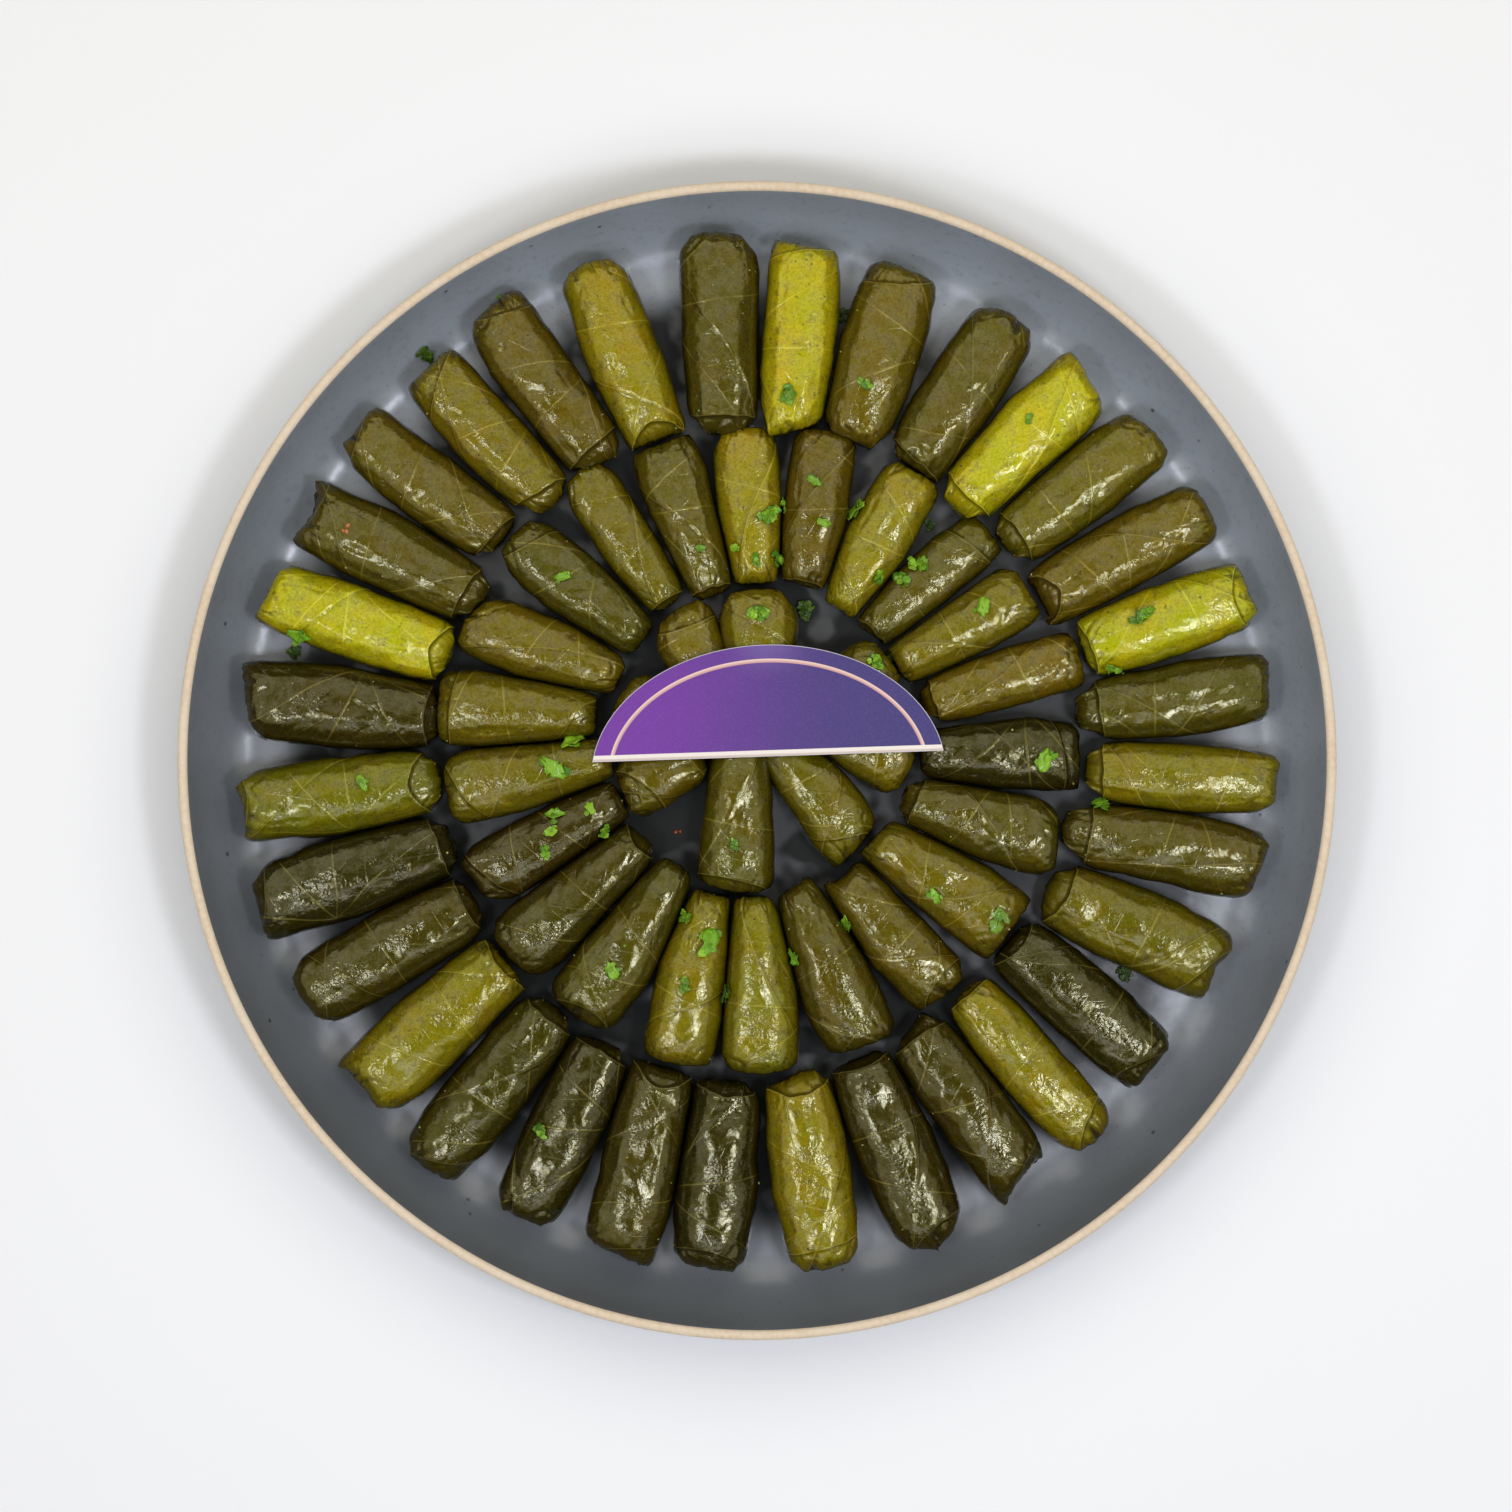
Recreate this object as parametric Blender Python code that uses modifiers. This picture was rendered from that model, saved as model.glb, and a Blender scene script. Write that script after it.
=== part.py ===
"""A round platter of stuffed vine leaves, seen from above as three rings of rolls round the centre.

A shallow stoneware plate carries 32 rolls in an outer ring, 22 in a middle ring and 8 in the centre. A half-round
card lies on the inner rolls, and chopped parsley lies on the rolls. Metres, +Z up, with the origin under the
plate's centre. Clock angles are in degrees, clockwise from +Y as seen from above.
"""

import math
import random
from collections import namedtuple

import bmesh
import bpy
from mathutils import Matrix, Vector
from mathutils.bvhtree import BVHTree

MM = 0.001
GAP = 0.3 * MM

# Plate, a coupe form with a low foot ring
PLATE_RADIUS = 174.0 * MM
RIM_HEIGHT = 29.0 * MM
RIM_WIDTH = 3.0 * MM
FLOOR_RADIUS = 148.0 * MM
FLOOR_TOP = 7.0 * MM
FLOOR_THICKNESS = 4.5 * MM
WALL_HEIGHT_LOSS = 3.0 * MM
RIM_FALL = 1.0 * MM
SHOULDER_INSET = 2.0 * MM
FOOT_RADIUS = 119.5 * MM
FOOT_WIDTH = 6.0 * MM
FOOT_SLANT = 1.5 * MM
PLATE_STEPS = 64
COVE_STEPS = 5
MERGE_DISTANCE = 0.1 * MM
# How far outside its own place a roll already rises with the cove, so that its faces clear the curve
COVE_CLEARANCE = 1.2 * MM

# A roll's mesh: sides round it, rings along it, and how its ends close in
ROLL_SIDES = 10
ROLL_RINGS = 7
SECTION_POWER = 3.0
# Distance from an end, with the shares of the full width and height that the roll has there
END_STEPS = ((0.0, 0.80, 0.56), (1.8 * MM, 0.94, 0.84), (7.0 * MM, 1.0, 0.98))
FLATTENING = 0.88
THICKEST = 21.0 * MM
UNEVENNESS = 0.035
SIDE_BEND = 0.9 * MM

# Parsley flakes, each a low six-sided chip pressed into what it lies on
FLAKE_SIDES = 6
FLAKE_THICKNESS = 1.5 * MM
FLAKE_SUNK = 0.6 * MM
FLAKE_NARROWNESS = 0.62
FLAKE_BASE = 0.5
FLAKE_TOP = 0.42
FLAKE_UNEVENNESS = 0.12

# Card: a flat edge closed by the upper part of an ellipse
CARD_HALF_AXES = (53.3 * MM, 39.0 * MM)
CARD_CHORD_OFFSET = 5.4 * MM
CARD_THICKNESS = 0.8 * MM
CARD_EDGE_MIDDLE = (3.3 * MM, 1.2 * MM)
CARD_TURN = math.radians(1.9)
CARD_ARC_STEPS = 24
CARD_MARGIN = 3.0 * MM

RANDOM_SEED = 62
SHARP_DEGREES = 40

STONEWARE = ((0.10, 0.125, 0.155, 1), 0.42)
PARSLEY_GREEN = ((0.06, 0.24, 0.02, 1), 0.45)
CARD_VIOLET = ((0.12, 0.04, 0.30, 1), 0.45)

# Leaf tones: colour and roughness
TONES = {
    "bright": ((0.36, 0.38, 0.03, 1), 0.28),
    "yellow": ((0.22, 0.22, 0.03, 1), 0.30),
    "olive": ((0.13, 0.14, 0.025, 1), 0.30),
    "brown": ((0.10, 0.085, 0.022, 1), 0.32),
    "dark": ((0.045, 0.05, 0.02, 1), 0.30),
}

# Each roll of a ring: clock angle of its outer end and of its inner end, radius of the outer end and of the
# inner end in mm, width at the middle in mm, and leaf tone
OUTER_RING = (
    (5.4, 5.5, 157, 99.5, 22.5, "bright"),
    (16.8, 16.5, 155, 100, 25, "brown"),
    (29.9, 27.8, 154.5, 99.5, 23, "dark"),
    (41, 38.2, 155, 97, 23.5, "bright"),
    (50.5, 49, 156, 99, 22.5, "olive"),
    (60.8, 60.7, 156.5, 98, 21.5, "brown"),
    (71, 71.2, 157.5, 103.5, 22.5, "bright"),
    (81.6, 81.8, 157.5, 98, 22.5, "dark"),
    (92.4, 91.5, 157.5, 99, 20.5, "yellow"),
    (102, 102, 156, 96, 23, "dark"),
    (114.4, 113.8, 154.5, 96, 25, "olive"),
    (127.7, 125.6, 151.5, 94.5, 23.5, "dark"),
    (138.2, 137.8, 153.5, 94, 20.5, "yellow"),
    (147.6, 149.8, 152.5, 93, 23, "olive"),
    (159.7, 161.3, 155.5, 94, 24.5, "brown"),
    (172.1, 172.7, 154.5, 95.5, 25, "yellow"),
    (185.3, 185.2, 154.5, 97.5, 24.5, "dark"),
    (195.8, 197, 158, 96.5, 24.5, "olive"),
    (207.2, 208.5, 155, 96, 22.5, "dark"),
    (219.2, 219.2, 158, 96.5, 22.5, "olive"),
    (230.2, 231.2, 157, 97, 25.5, "yellow"),
    (242.3, 243.6, 155, 96, 23.5, "olive"),
    (253.6, 254.9, 157.5, 96, 25, "dark"),
    (264.7, 266.5, 157.5, 96.5, 23.5, "bright"),
    (276.9, 277.6, 158, 98, 25, "brown"),
    (289.2, 289, 159, 98.5, 22, "bright"),
    (299, 300.1, 156.5, 98.5, 23.5, "dark"),
    (309.6, 310.9, 158, 102, 21.5, "brown"),
    (320, 321.4, 155, 100, 21.5, "olive"),
    (329.6, 332.3, 160, 102, 22.5, "brown"),
    (341.2, 342.7, 159, 101, 22.5, "yellow"),
    (355.5, 354.6, 159, 100.5, 25, "dark"),
)
MIDDLE_RING = (
    (357.5, 359.8, 98.5, 53, 19.5, "yellow"),
    (12, 14.8, 98.5, 53.5, 19.5, "brown"),
    (28.9, 28.9, 98, 51.5, 19.5, "yellow"),
    (45, 41.2, 95, 51, 16.5, "dark"),
    (57.6, 56.4, 95.5, 51, 20, "olive"),
    (72.4, 71, 101.5, 53, 18, "brown"),
    (89.2, 87.8, 96.5, 49.5, 21.5, "dark"),
    (105.4, 103.5, 93.5, 45.5, 22, "dark"),
    (124, 122.7, 92.5, 44, 23.5, "olive"),
    (141, 143.5, 89, 42.5, 20.5, "brown"),
    (159, 163.0, 91.5, 41.5, 23, "dark"),
    (179, 181.4, 93.5, 42, 23.5, "yellow"),
    (195, 198.8, 93.5, 43, 21.5, "yellow"),
    (215.4, 216, 93.5, 40.5, 23, "dark"),
    (231.8, 235.4, 94, 42.5, 22.5, "olive"),
    (247, 254, 92, 43.5, 20, "brown"),
    (264, 271, 93.5, 44, 21.5, "olive"),
    (279.4, 286.5, 96.5, 49.5, 22.5, "olive"),
    (295.9, 300, 96, 49.5, 20, "olive"),
    (312.9, 316.8, 98, 51.5, 20, "dark"),
    (328.7, 330.7, 99.5, 54, 17, "olive"),
    (343, 344.8, 99, 52, 20, "dark"),
)
# The centre's rolls: name, outer end and inner end in the plan in mm, width in mm, and leaf tone
CENTRE_ROLLS = (
    ("top", (-0.3, 51.0), (0.5, 18.0), 21.5, "olive"),
    ("top_left", (-23.6, 44.3), (-11.5, 17.5), 19.5, "olive"),
    ("left", (-40.5, 20.0), (-17.0, 4.5), 17.5, "olive"),
    ("bottom_left", (-40.0, -9.8), (-16.0, 0.5), 19, "brown"),
    ("bottom", (-6.8, -39.8), (-4.5, 10.0), 21.5, "dark"),
    ("bottom_right", (30.6, -27.0), (4.5, 6.5), 19.5, "olive"),
    ("right", (45.8, -2.2), (20.0, 9.5), 18.5, "olive"),
    ("top_right", (39.5, 30.5), (19.0, 15.0), 18.5, "olive"),
)
# Rolls whose inner ends press into each other under the card, so that each pair is one solid
PRESSED_PAIRS = (("top", "top_left"), ("left", "bottom_left"), ("bottom", "bottom_right"), ("right", "top_right"))

# How wide the two ends are, as shares of the middle's width
OUTER_RING_ENDS = (0.88, 0.82)
MIDDLE_RING_ENDS = (0.98, 0.74)
CENTRE_ENDS = (1.04, 0.60)
# How much lower a roll's two ends are than its middle
END_FALL = 0.10

# Parsley: place in the plan and length, in mm
PARSLEY = (
    (-78.5, 138.5, 5), (9.9, 111.2, 6), (32.7, 113.3, 3.5), (81.9, 102.2, 4), (17.1, 83.9, 4),
    (30.5, 75.0, 8), (2.7, 73.7, 5.5), (7.0, 76.9, 4), (20.1, 71.6, 4), (-6.3, 64.1, 4), (5.4, 60.8, 4),
    (-0.4, 60.4, 3.5), (48.5, 59.0, 6), (43.5, 54.2, 4.5), (36.5, 55.7, 3.5), (0.6, 43.7, 5.5),
    (68.4, 46.1, 5.5), (115.5, 44.0, 6.5), (35.4, 29.5, 5), (-58.5, 55.1, 4), (-17.1, 64.1, 3.5),
    (107.5, 28.5, 4.5), (103.5, -14.0, 5), (86.4, 0.2, 7), (-137.5, 38.0, 5), (-118.5, -6.8, 4.5),
    (-55.5, 4.8, 6.5), (-61.2, -2.3, 8), (-60.5, -16.5, 5), (-50.0, -14.5, 4), (-62.1, -21.5, 4),
    (-63.6, -27.8, 4), (-46.5, -20.5, 4), (-43.5, -62.9, 5.5), (-21.6, -67.4, 4), (-14.7, -54.5, 9),
    (-21.0, -47.4, 4), (11.6, -59.2, 4), (27.5, -48.5, 4.5), (-64.5, -111.5, 4), (-6.6, -25.4, 3.5),
    (53.4, -40.4, 4), (72.0, -48.4, 8),
)

Roll = namedtuple("Roll", "name outer inner width ends tone")


def clear_scene():
    for old in list(bpy.data.objects):
        bpy.data.objects.remove(old, do_unlink=True)


def material(name, tone):
    """A plain surface of a tone, which is a colour and a roughness."""
    made = bpy.data.materials.new(name)
    made.use_nodes = True
    shader = made.node_tree.nodes["Principled BSDF"]
    shader.inputs["Base Color"].default_value, shader.inputs["Roughness"].default_value = tone
    return made


def add_object(name, mesh, collection, surface):
    obj = bpy.data.objects.new(name, mesh)
    collection.objects.link(obj)
    mesh.materials.append(surface)
    return obj


def mesh_from(name, bm):
    mesh = bpy.data.meshes.new(name)
    bm.to_mesh(mesh)
    bm.free()
    return mesh


def plate_top(radius):
    """Height of the plate's upper face: a flat floor, then a cove that steepens to the rim."""
    cove_width = PLATE_RADIUS - RIM_WIDTH - FLOOR_RADIUS
    along = max(0.0, radius - FLOOR_RADIUS) / cove_width
    return FLOOR_TOP + (RIM_HEIGHT - RIM_FALL - FLOOR_TOP) * along**2


def plate_profile():
    """The half section from the middle of the floor over the rim and back to the axis underneath."""
    inner_rim = PLATE_RADIUS - RIM_WIDTH
    underside = FLOOR_TOP - FLOOR_THICKNESS
    points = [(0.0, FLOOR_TOP)]
    for step in range(COVE_STEPS + 1):
        radius = FLOOR_RADIUS + (inner_rim - FLOOR_RADIUS) * step / COVE_STEPS
        points.append((radius, plate_top(radius)))
    points.append((PLATE_RADIUS - RIM_WIDTH / 2, RIM_HEIGHT))
    points.append((PLATE_RADIUS, RIM_HEIGHT - RIM_FALL))
    shoulder = FLOOR_RADIUS - SHOULDER_INSET
    for step in range(COVE_STEPS, -1, -1):
        along = step / COVE_STEPS
        height = underside + (RIM_HEIGHT - WALL_HEIGHT_LOSS - underside) * along**2
        points.append((shoulder + (PLATE_RADIUS - shoulder) * along, height))
    foot_inner = FOOT_RADIUS - FOOT_WIDTH
    points += [(FOOT_RADIUS + FOOT_SLANT, underside), (FOOT_RADIUS, 0.0), (foot_inner, 0.0)]
    points += [(foot_inner - FOOT_SLANT, underside), (0.0, underside)]
    return points


def make_plate(collection, surface):
    bm = bmesh.new()
    corners = [bm.verts.new((radius, 0, height)) for radius, height in plate_profile()]
    for first, second in zip(corners, corners[1:]):
        bm.edges.new((first, second))
    plate = add_object("plate", mesh_from("plate", bm), collection, surface)
    turn = plate.modifiers.new("turn", "SCREW")
    turn.steps = turn.render_steps = PLATE_STEPS
    turn.use_merge_vertices = True
    turn.merge_threshold = MERGE_DISTANCE
    turn.use_smooth_shade = True
    return plate


def in_plan(clock_degrees, radius_mm):
    """The point of the plan at a clock angle and a radius."""
    angle = math.radians(clock_degrees)
    return Vector((math.sin(angle), math.cos(angle))) * radius_mm * MM


def ring_rolls(prefix, rows, ends):
    rolls = []
    for number, (outer_angle, inner_angle, outer_mm, inner_mm, width_mm, tone) in enumerate(rows, 1):
        outer = in_plan(outer_angle, outer_mm)
        inner = in_plan(inner_angle, inner_mm)
        rolls.append(Roll(f"{prefix}_{number:02d}", outer, inner, width_mm * MM, ends, tone))
    return rolls


def centre_rolls():
    rolls = []
    for name, outer, inner, width_mm, tone in CENTRE_ROLLS:
        rolls.append(Roll(name, Vector(outer) * MM, Vector(inner) * MM, width_mm * MM, CENTRE_ENDS, tone))
    return rolls


def across(roll):
    """The unit vector of the plan at right angles to a roll, on the clockwise side of a ring's roll."""
    along = (roll.outer - roll.inner).normalized()
    return Vector((along.y, -along.x))


def side_room(roll, neighbour, point):
    """How far the roll may reach from a point of its axis, up to the middle between it and its neighbour."""
    if neighbour is None:
        return math.inf
    distance = abs((neighbour.outer - point).dot(across(neighbour)))
    return distance / (1 + abs(across(roll).dot(across(neighbour)))) - GAP


def ring_stations(length):
    """Distance from the outer end, and the shares of width and height, of each ring of points along a roll."""
    first = list(END_STEPS)
    last = [(length - distance, width, height) for distance, width, height in reversed(END_STEPS)]
    return first + [(length / 2, 1.0, 1.0)] + last


def end_share(ends, share):
    """A roll's width as a share of its middle's, on a parabola through both ends: share runs from -1 to 1."""
    return 1 + (ends[1] - ends[0]) / 2 * share + ((ends[0] + ends[1]) / 2 - 1) * share**2


def rounded(value):
    """One coordinate of a superellipse from the cosine or sine of its angle."""
    return math.copysign(abs(value) ** (2 / SECTION_POWER), value)


def roll_mesh(roll, before, after, number):
    """A closed roll: a cylinder with rings of points along it, moved into a flattened, tapered and uneven form."""
    draw = random.Random(RANDOM_SEED + number)
    length = (roll.outer - roll.inner).length
    sideways = across(roll)
    thickness = min(THICKEST, roll.width * FLATTENING)
    bend = draw.uniform(-SIDE_BEND, SIDE_BEND)
    stations = ring_stations(length)
    full_height = math.sin(math.pi / 2 - math.pi / ROLL_SIDES) ** (2 / SECTION_POWER)

    bm = bmesh.new()
    bmesh.ops.create_cone(bm, cap_ends=True, segments=ROLL_SIDES, radius1=1, radius2=1, depth=1)
    long_edges = [edge for edge in bm.edges if abs(edge.verts[0].co.z - edge.verts[1].co.z) > 0.5]
    bmesh.ops.subdivide_edges(bm, edges=long_edges, cuts=ROLL_RINGS - 2)
    turn = Matrix.Rotation(math.pi / 2, 3, "Z")
    for vert in bm.verts:
        place = round((vert.co.z + 0.5) * (ROLL_RINGS - 1))
        distance, width_share, height_share = stations[place]
        share = 2 * distance / length - 1
        half_width = roll.width / 2 * end_share(roll.ends, share)
        axis_point = roll.outer.lerp(roll.inner, distance / length)
        shift = bend * (1 - share**2)
        direction = turn @ Vector((vert.co.x, vert.co.y, 0)).normalized()
        if direction.x > 0:
            room = side_room(roll, after, axis_point) - shift
        else:
            room = side_room(roll, before, axis_point) + shift
        half_width = min(half_width * width_share, room)
        shrink = 1 - draw.uniform(0, UNEVENNESS)
        reach = half_width * shrink * rounded(direction.x)
        plan = axis_point + sideways * (shift + reach)
        taper = 1 - END_FALL * share**2
        rise = thickness / 2 * (1 + height_share * taper * shrink * rounded(direction.y) / full_height)
        floor = plate_top(plan.length + COVE_CLEARANCE) if plan.length > FLOOR_RADIUS - COVE_CLEARANCE else FLOOR_TOP
        height = max(FLOOR_TOP + GAP + rise, floor + GAP)
        vert.co = (plan.x, plan.y, height)
    bmesh.ops.triangulate(bm, faces=bm.faces)
    if bm.calc_volume(signed=True) < 0:
        bmesh.ops.reverse_faces(bm, faces=bm.faces)
    mesh = mesh_from(roll.name, bm)
    mesh.shade_smooth()
    mesh.set_sharp_from_angle(angle=math.radians(SHARP_DEGREES))
    return mesh


def ring_objects(rolls, collection, surfaces, first_number):
    made = []
    for place, roll in enumerate(rolls):
        before = rolls[place - 1]
        after = rolls[(place + 1) % len(rolls)]
        mesh = roll_mesh(roll, before, after, first_number + place)
        made.append(add_object(roll.name, mesh, collection, surfaces[roll.tone]))
    return made


def join(target, others):
    """One solid of an object and others that overlap it, made by a Boolean union that is applied."""
    helpers = bpy.data.collections.new("joined")
    bpy.context.scene.collection.children.link(helpers)
    for other in others:
        helpers.objects.link(other)
    union = target.modifiers.new("union", "BOOLEAN")
    union.operation = "UNION"
    union.operand_type = "COLLECTION"
    union.collection = helpers
    union.solver = "EXACT"
    evaluated = target.evaluated_get(bpy.context.evaluated_depsgraph_get())
    mesh = bpy.data.meshes.new_from_object(evaluated)
    target.modifiers.clear()
    target.data = mesh
    for other in others:
        bpy.data.objects.remove(other, do_unlink=True)
    bpy.data.collections.remove(helpers)


def centre_objects(rolls, collection, surfaces, first_number):
    by_name = {}
    for place, roll in enumerate(rolls):
        mesh = roll_mesh(roll, None, None, first_number + place)
        by_name[roll.name] = add_object(roll.name, mesh, collection, surfaces[roll.tone])
    made = []
    for first, second in PRESSED_PAIRS:
        pair = by_name[first]
        join(pair, [by_name[second]])
        pair.name = f"centre_{first}"
        made.append(pair)
    return made


def surface_below(carriers, x, y):
    """The first object that a line straight down at a place meets, with the point and the normal there."""
    best = None
    for carrier, tree in carriers:
        point, normal, _, _ = tree.ray_cast(Vector((x, y, 2 * RIM_HEIGHT)), Vector((0, 0, -1)))
        if point and (best is None or point.z > best[1].z):
            best = (carrier, point, normal)
    return best


def flake(place, length, point, normal, collection, surface):
    """A parsley flake of a length, lying at a point of a surface and square to the normal there."""
    draw = random.Random(RANDOM_SEED * len(PARSLEY) + place)
    bm = bmesh.new()
    bmesh.ops.create_cone(
        bm, cap_ends=True, segments=FLAKE_SIDES, radius1=FLAKE_BASE, radius2=FLAKE_TOP, depth=FLAKE_THICKNESS
    )
    for vert in bm.verts:
        vert.co.x *= length * (1 - draw.uniform(0, FLAKE_UNEVENNESS))
        vert.co.y *= length * FLAKE_NARROWNESS * (1 - draw.uniform(0, FLAKE_UNEVENNESS))
    lift = Matrix.Translation((0, 0, FLAKE_THICKNESS / 2 - FLAKE_SUNK))
    spin = Matrix.Rotation(draw.uniform(0, math.pi), 4, "Z")
    lean = normal.to_track_quat("Z", "Y").to_matrix().to_4x4()
    bmesh.ops.transform(bm, matrix=Matrix.Translation(point) @ lean @ lift @ spin, verts=bm.verts)
    return add_object(f"flake_{place}", mesh_from(f"flake_{place}", bm), collection, surface)


def add_parsley(rolls, collection, surface):
    """Presses each flake into the roll under it, and joins all the flakes of a roll with it."""
    carriers = []
    for roll in rolls:
        bm = bmesh.new()
        bm.from_mesh(roll.data)
        carriers.append((roll, BVHTree.FromBMesh(bm)))
        bm.free()
    flakes = {}
    for place, (x_mm, y_mm, length_mm) in enumerate(PARSLEY):
        below = surface_below(carriers, x_mm * MM, y_mm * MM)
        if below is None:
            raise ValueError(f"no roll lies under the flake at {x_mm}, {y_mm}")
        roll, point, normal = below
        chip = flake(place, length_mm * MM, point, normal, collection, surface)
        flakes.setdefault(roll.name, []).append(chip)
    for roll in rolls:
        if roll.name in flakes:
            join(roll, flakes[roll.name])


def card_outline():
    half_long, half_high = CARD_HALF_AXES
    start = math.asin(CARD_CHORD_OFFSET / half_high)
    points = []
    for step in range(CARD_ARC_STEPS + 1):
        angle = start + (math.pi - 2 * start) * step / CARD_ARC_STEPS
        points.append((half_long * math.cos(angle), half_high * math.sin(angle) - CARD_CHORD_OFFSET))
    return points


def make_card(collection, surface, height):
    """The card, a flat outline given its thickness, with its lower face at a height."""
    curve = bpy.data.curves.new("card", "CURVE")
    curve.dimensions = "2D"
    curve.fill_mode = "BOTH"
    curve.extrude = CARD_THICKNESS / 2
    outline = card_outline()
    spline = curve.splines.new("POLY")
    spline.points.add(len(outline) - 1)
    for point, (x, y) in zip(spline.points, outline):
        point.co = (x, y, 0, 1)
    spline.use_cyclic_u = True
    curve.materials.append(surface)
    card = bpy.data.objects.new("card", curve)
    collection.objects.link(card)
    card.location = (*CARD_EDGE_MIDDLE, height + CARD_THICKNESS / 2)
    card.rotation_euler.z = CARD_TURN
    return card


def top_under_card(objects):
    """The highest point of the objects inside the card's reach."""
    edge_middle = Vector(CARD_EDGE_MIDDLE)
    reach = CARD_HALF_AXES[0] + CARD_MARGIN
    highest = 0.0
    for obj in objects:
        for vert in obj.data.vertices:
            place = Vector((vert.co.x, vert.co.y)) - edge_middle
            if abs(place.x) < reach and -CARD_MARGIN < place.y < CARD_HALF_AXES[1]:
                highest = max(highest, vert.co.z)
    return highest


def build():
    clear_scene()
    platter = bpy.data.collections.new("vine leaf rolls")
    bpy.context.scene.collection.children.link(platter)
    leaves = {name: material(f"leaf {name}", tone) for name, tone in TONES.items()}

    make_plate(platter, material("stoneware glaze", STONEWARE))
    outer = ring_rolls("outer", OUTER_RING, OUTER_RING_ENDS)
    middle = ring_rolls("middle", MIDDLE_RING, MIDDLE_RING_ENDS)
    centre = centre_rolls()
    rolls = ring_objects(outer, platter, leaves, 0)
    rolls += ring_objects(middle, platter, leaves, len(outer))
    rolls += centre_objects(centre, platter, leaves, len(outer) + len(middle))
    card_height = top_under_card(rolls) + GAP
    add_parsley(rolls, platter, material("parsley", PARSLEY_GREEN))
    make_card(platter, material("card violet", CARD_VIOLET), card_height)


build()
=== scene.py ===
"""Looks of a round platter of stuffed vine leaves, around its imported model.

Every roll of the model is replaced by a crumpled, veined and wet leaf roll in the same place, the plate by a finer
turned form with its glaze, the card by a printed one, and the parsley by curled leaflets. Metres, +Z up.
"""

import functools
import itertools
import math
import random
from collections import namedtuple

import bmesh
import bpy
import numpy as np
from mathutils import Matrix, Vector
from mathutils.bvhtree import BVHTree


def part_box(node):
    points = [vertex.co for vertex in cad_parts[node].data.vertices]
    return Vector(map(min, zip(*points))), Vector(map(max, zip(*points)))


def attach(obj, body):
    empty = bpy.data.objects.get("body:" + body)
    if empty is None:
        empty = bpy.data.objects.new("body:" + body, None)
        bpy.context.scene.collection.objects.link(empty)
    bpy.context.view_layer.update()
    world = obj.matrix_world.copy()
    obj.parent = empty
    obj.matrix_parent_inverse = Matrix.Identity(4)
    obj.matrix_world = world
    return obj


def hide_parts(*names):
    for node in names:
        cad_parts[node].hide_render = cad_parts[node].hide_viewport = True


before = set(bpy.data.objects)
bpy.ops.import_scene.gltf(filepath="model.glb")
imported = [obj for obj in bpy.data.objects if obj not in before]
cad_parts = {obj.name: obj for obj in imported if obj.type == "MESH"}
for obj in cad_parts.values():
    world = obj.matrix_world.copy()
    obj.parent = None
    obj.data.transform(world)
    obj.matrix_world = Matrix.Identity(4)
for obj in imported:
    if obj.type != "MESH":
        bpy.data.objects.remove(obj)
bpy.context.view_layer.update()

MM = 0.001
GAP = 0.3 * MM
SEED = 62

# Plate, as in the model
PLATE_RADIUS = 174.0 * MM
RIM_HEIGHT = 29.0 * MM
RIM_WIDTH = 3.0 * MM
FLOOR_RADIUS = 148.0 * MM
FLOOR_TOP = 7.0 * MM
FLOOR_THICKNESS = 4.5 * MM
WALL_HEIGHT_LOSS = 3.0 * MM
RIM_FALL = 1.0 * MM
SHOULDER_INSET = 2.0 * MM
FOOT_RADIUS = 119.5 * MM
FOOT_WIDTH = 6.0 * MM
FOOT_SLANT = 1.5 * MM
COVE_CLEARANCE = 1.2 * MM
COVE_POWER = 2.75

# The finer form of the plate: the radii of its floor's rings in mm, the rim's section in mm outwards from its
# radius and up from its height, and how many steps the cove and the turn are made of
FLOOR_RINGS = (0.5, 20, 45, 70, 95, 115, 130, 140, 145)
RIM_SECTION = ((-2.75, -0.62), (-2.4, -0.27), (-1.9, -0.07), (-1.4, 0.0), (-0.9, -0.09), (-0.45, -0.33),
               (-0.12, -0.72), (0.0, -1.2), (-0.02, -1.9))
COVE_STEPS = 26
PLATE_TURNS = 256

# A roll's form, as in the model
FLATTENING = 0.88
THICKEST = 21.0 * MM
SIDE_BEND = 0.9 * MM
END_FALL = 0.10
OUTER_RING_ENDS = (0.88, 0.82)
MIDDLE_RING_ENDS = (0.98, 0.74)
CENTRE_ENDS = (1.04, 0.60)

# The finer mesh of a roll
SECTION_POWER = 2.6
SIDES = 72
RINGS = 80
CAP_RINGS = (0.88, 0.74, 0.58, 0.42, 0.26, 0.12)
CAP_DEPTH = 1.6 * MM
CAP_LIFT = 0.5 * MM
SPIRAL_TURNS = 2.4

# A leaf's relief, in mm: humps by depth and size, creases by length, width, slant in radians and depth, how far a
# point may rise on the crown, and the distance of an edge that a roll doesn't have
HUMPS = ((0.42, 9.5), (0.17, 4.4), (0.06, 2.1))
CREASES = ((17.0, 3.2, 0.0, 0.22), (9.0, 1.8, 0.7, 0.11), (9.0, 1.8, -0.6, 0.11))
HIGHEST_RELIEF = 0.6
FAR = 50.0

# A leaf's veins: the angle between the main ones, the distance between side veins and how far both wander, in mm
VEIN_ANGLE = math.radians(43)
VEIN_SPACING = 13.0
VEIN_WANDER = 2.6

# Card, as in the model
CARD_HALF_AXES = (53.3 * MM, 39.0 * MM)
CARD_CHORD_OFFSET = 5.4 * MM
CARD_EDGE_MIDDLE = (3.3 * MM, 1.2 * MM)
CARD_TURN = math.radians(1.9)

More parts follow.
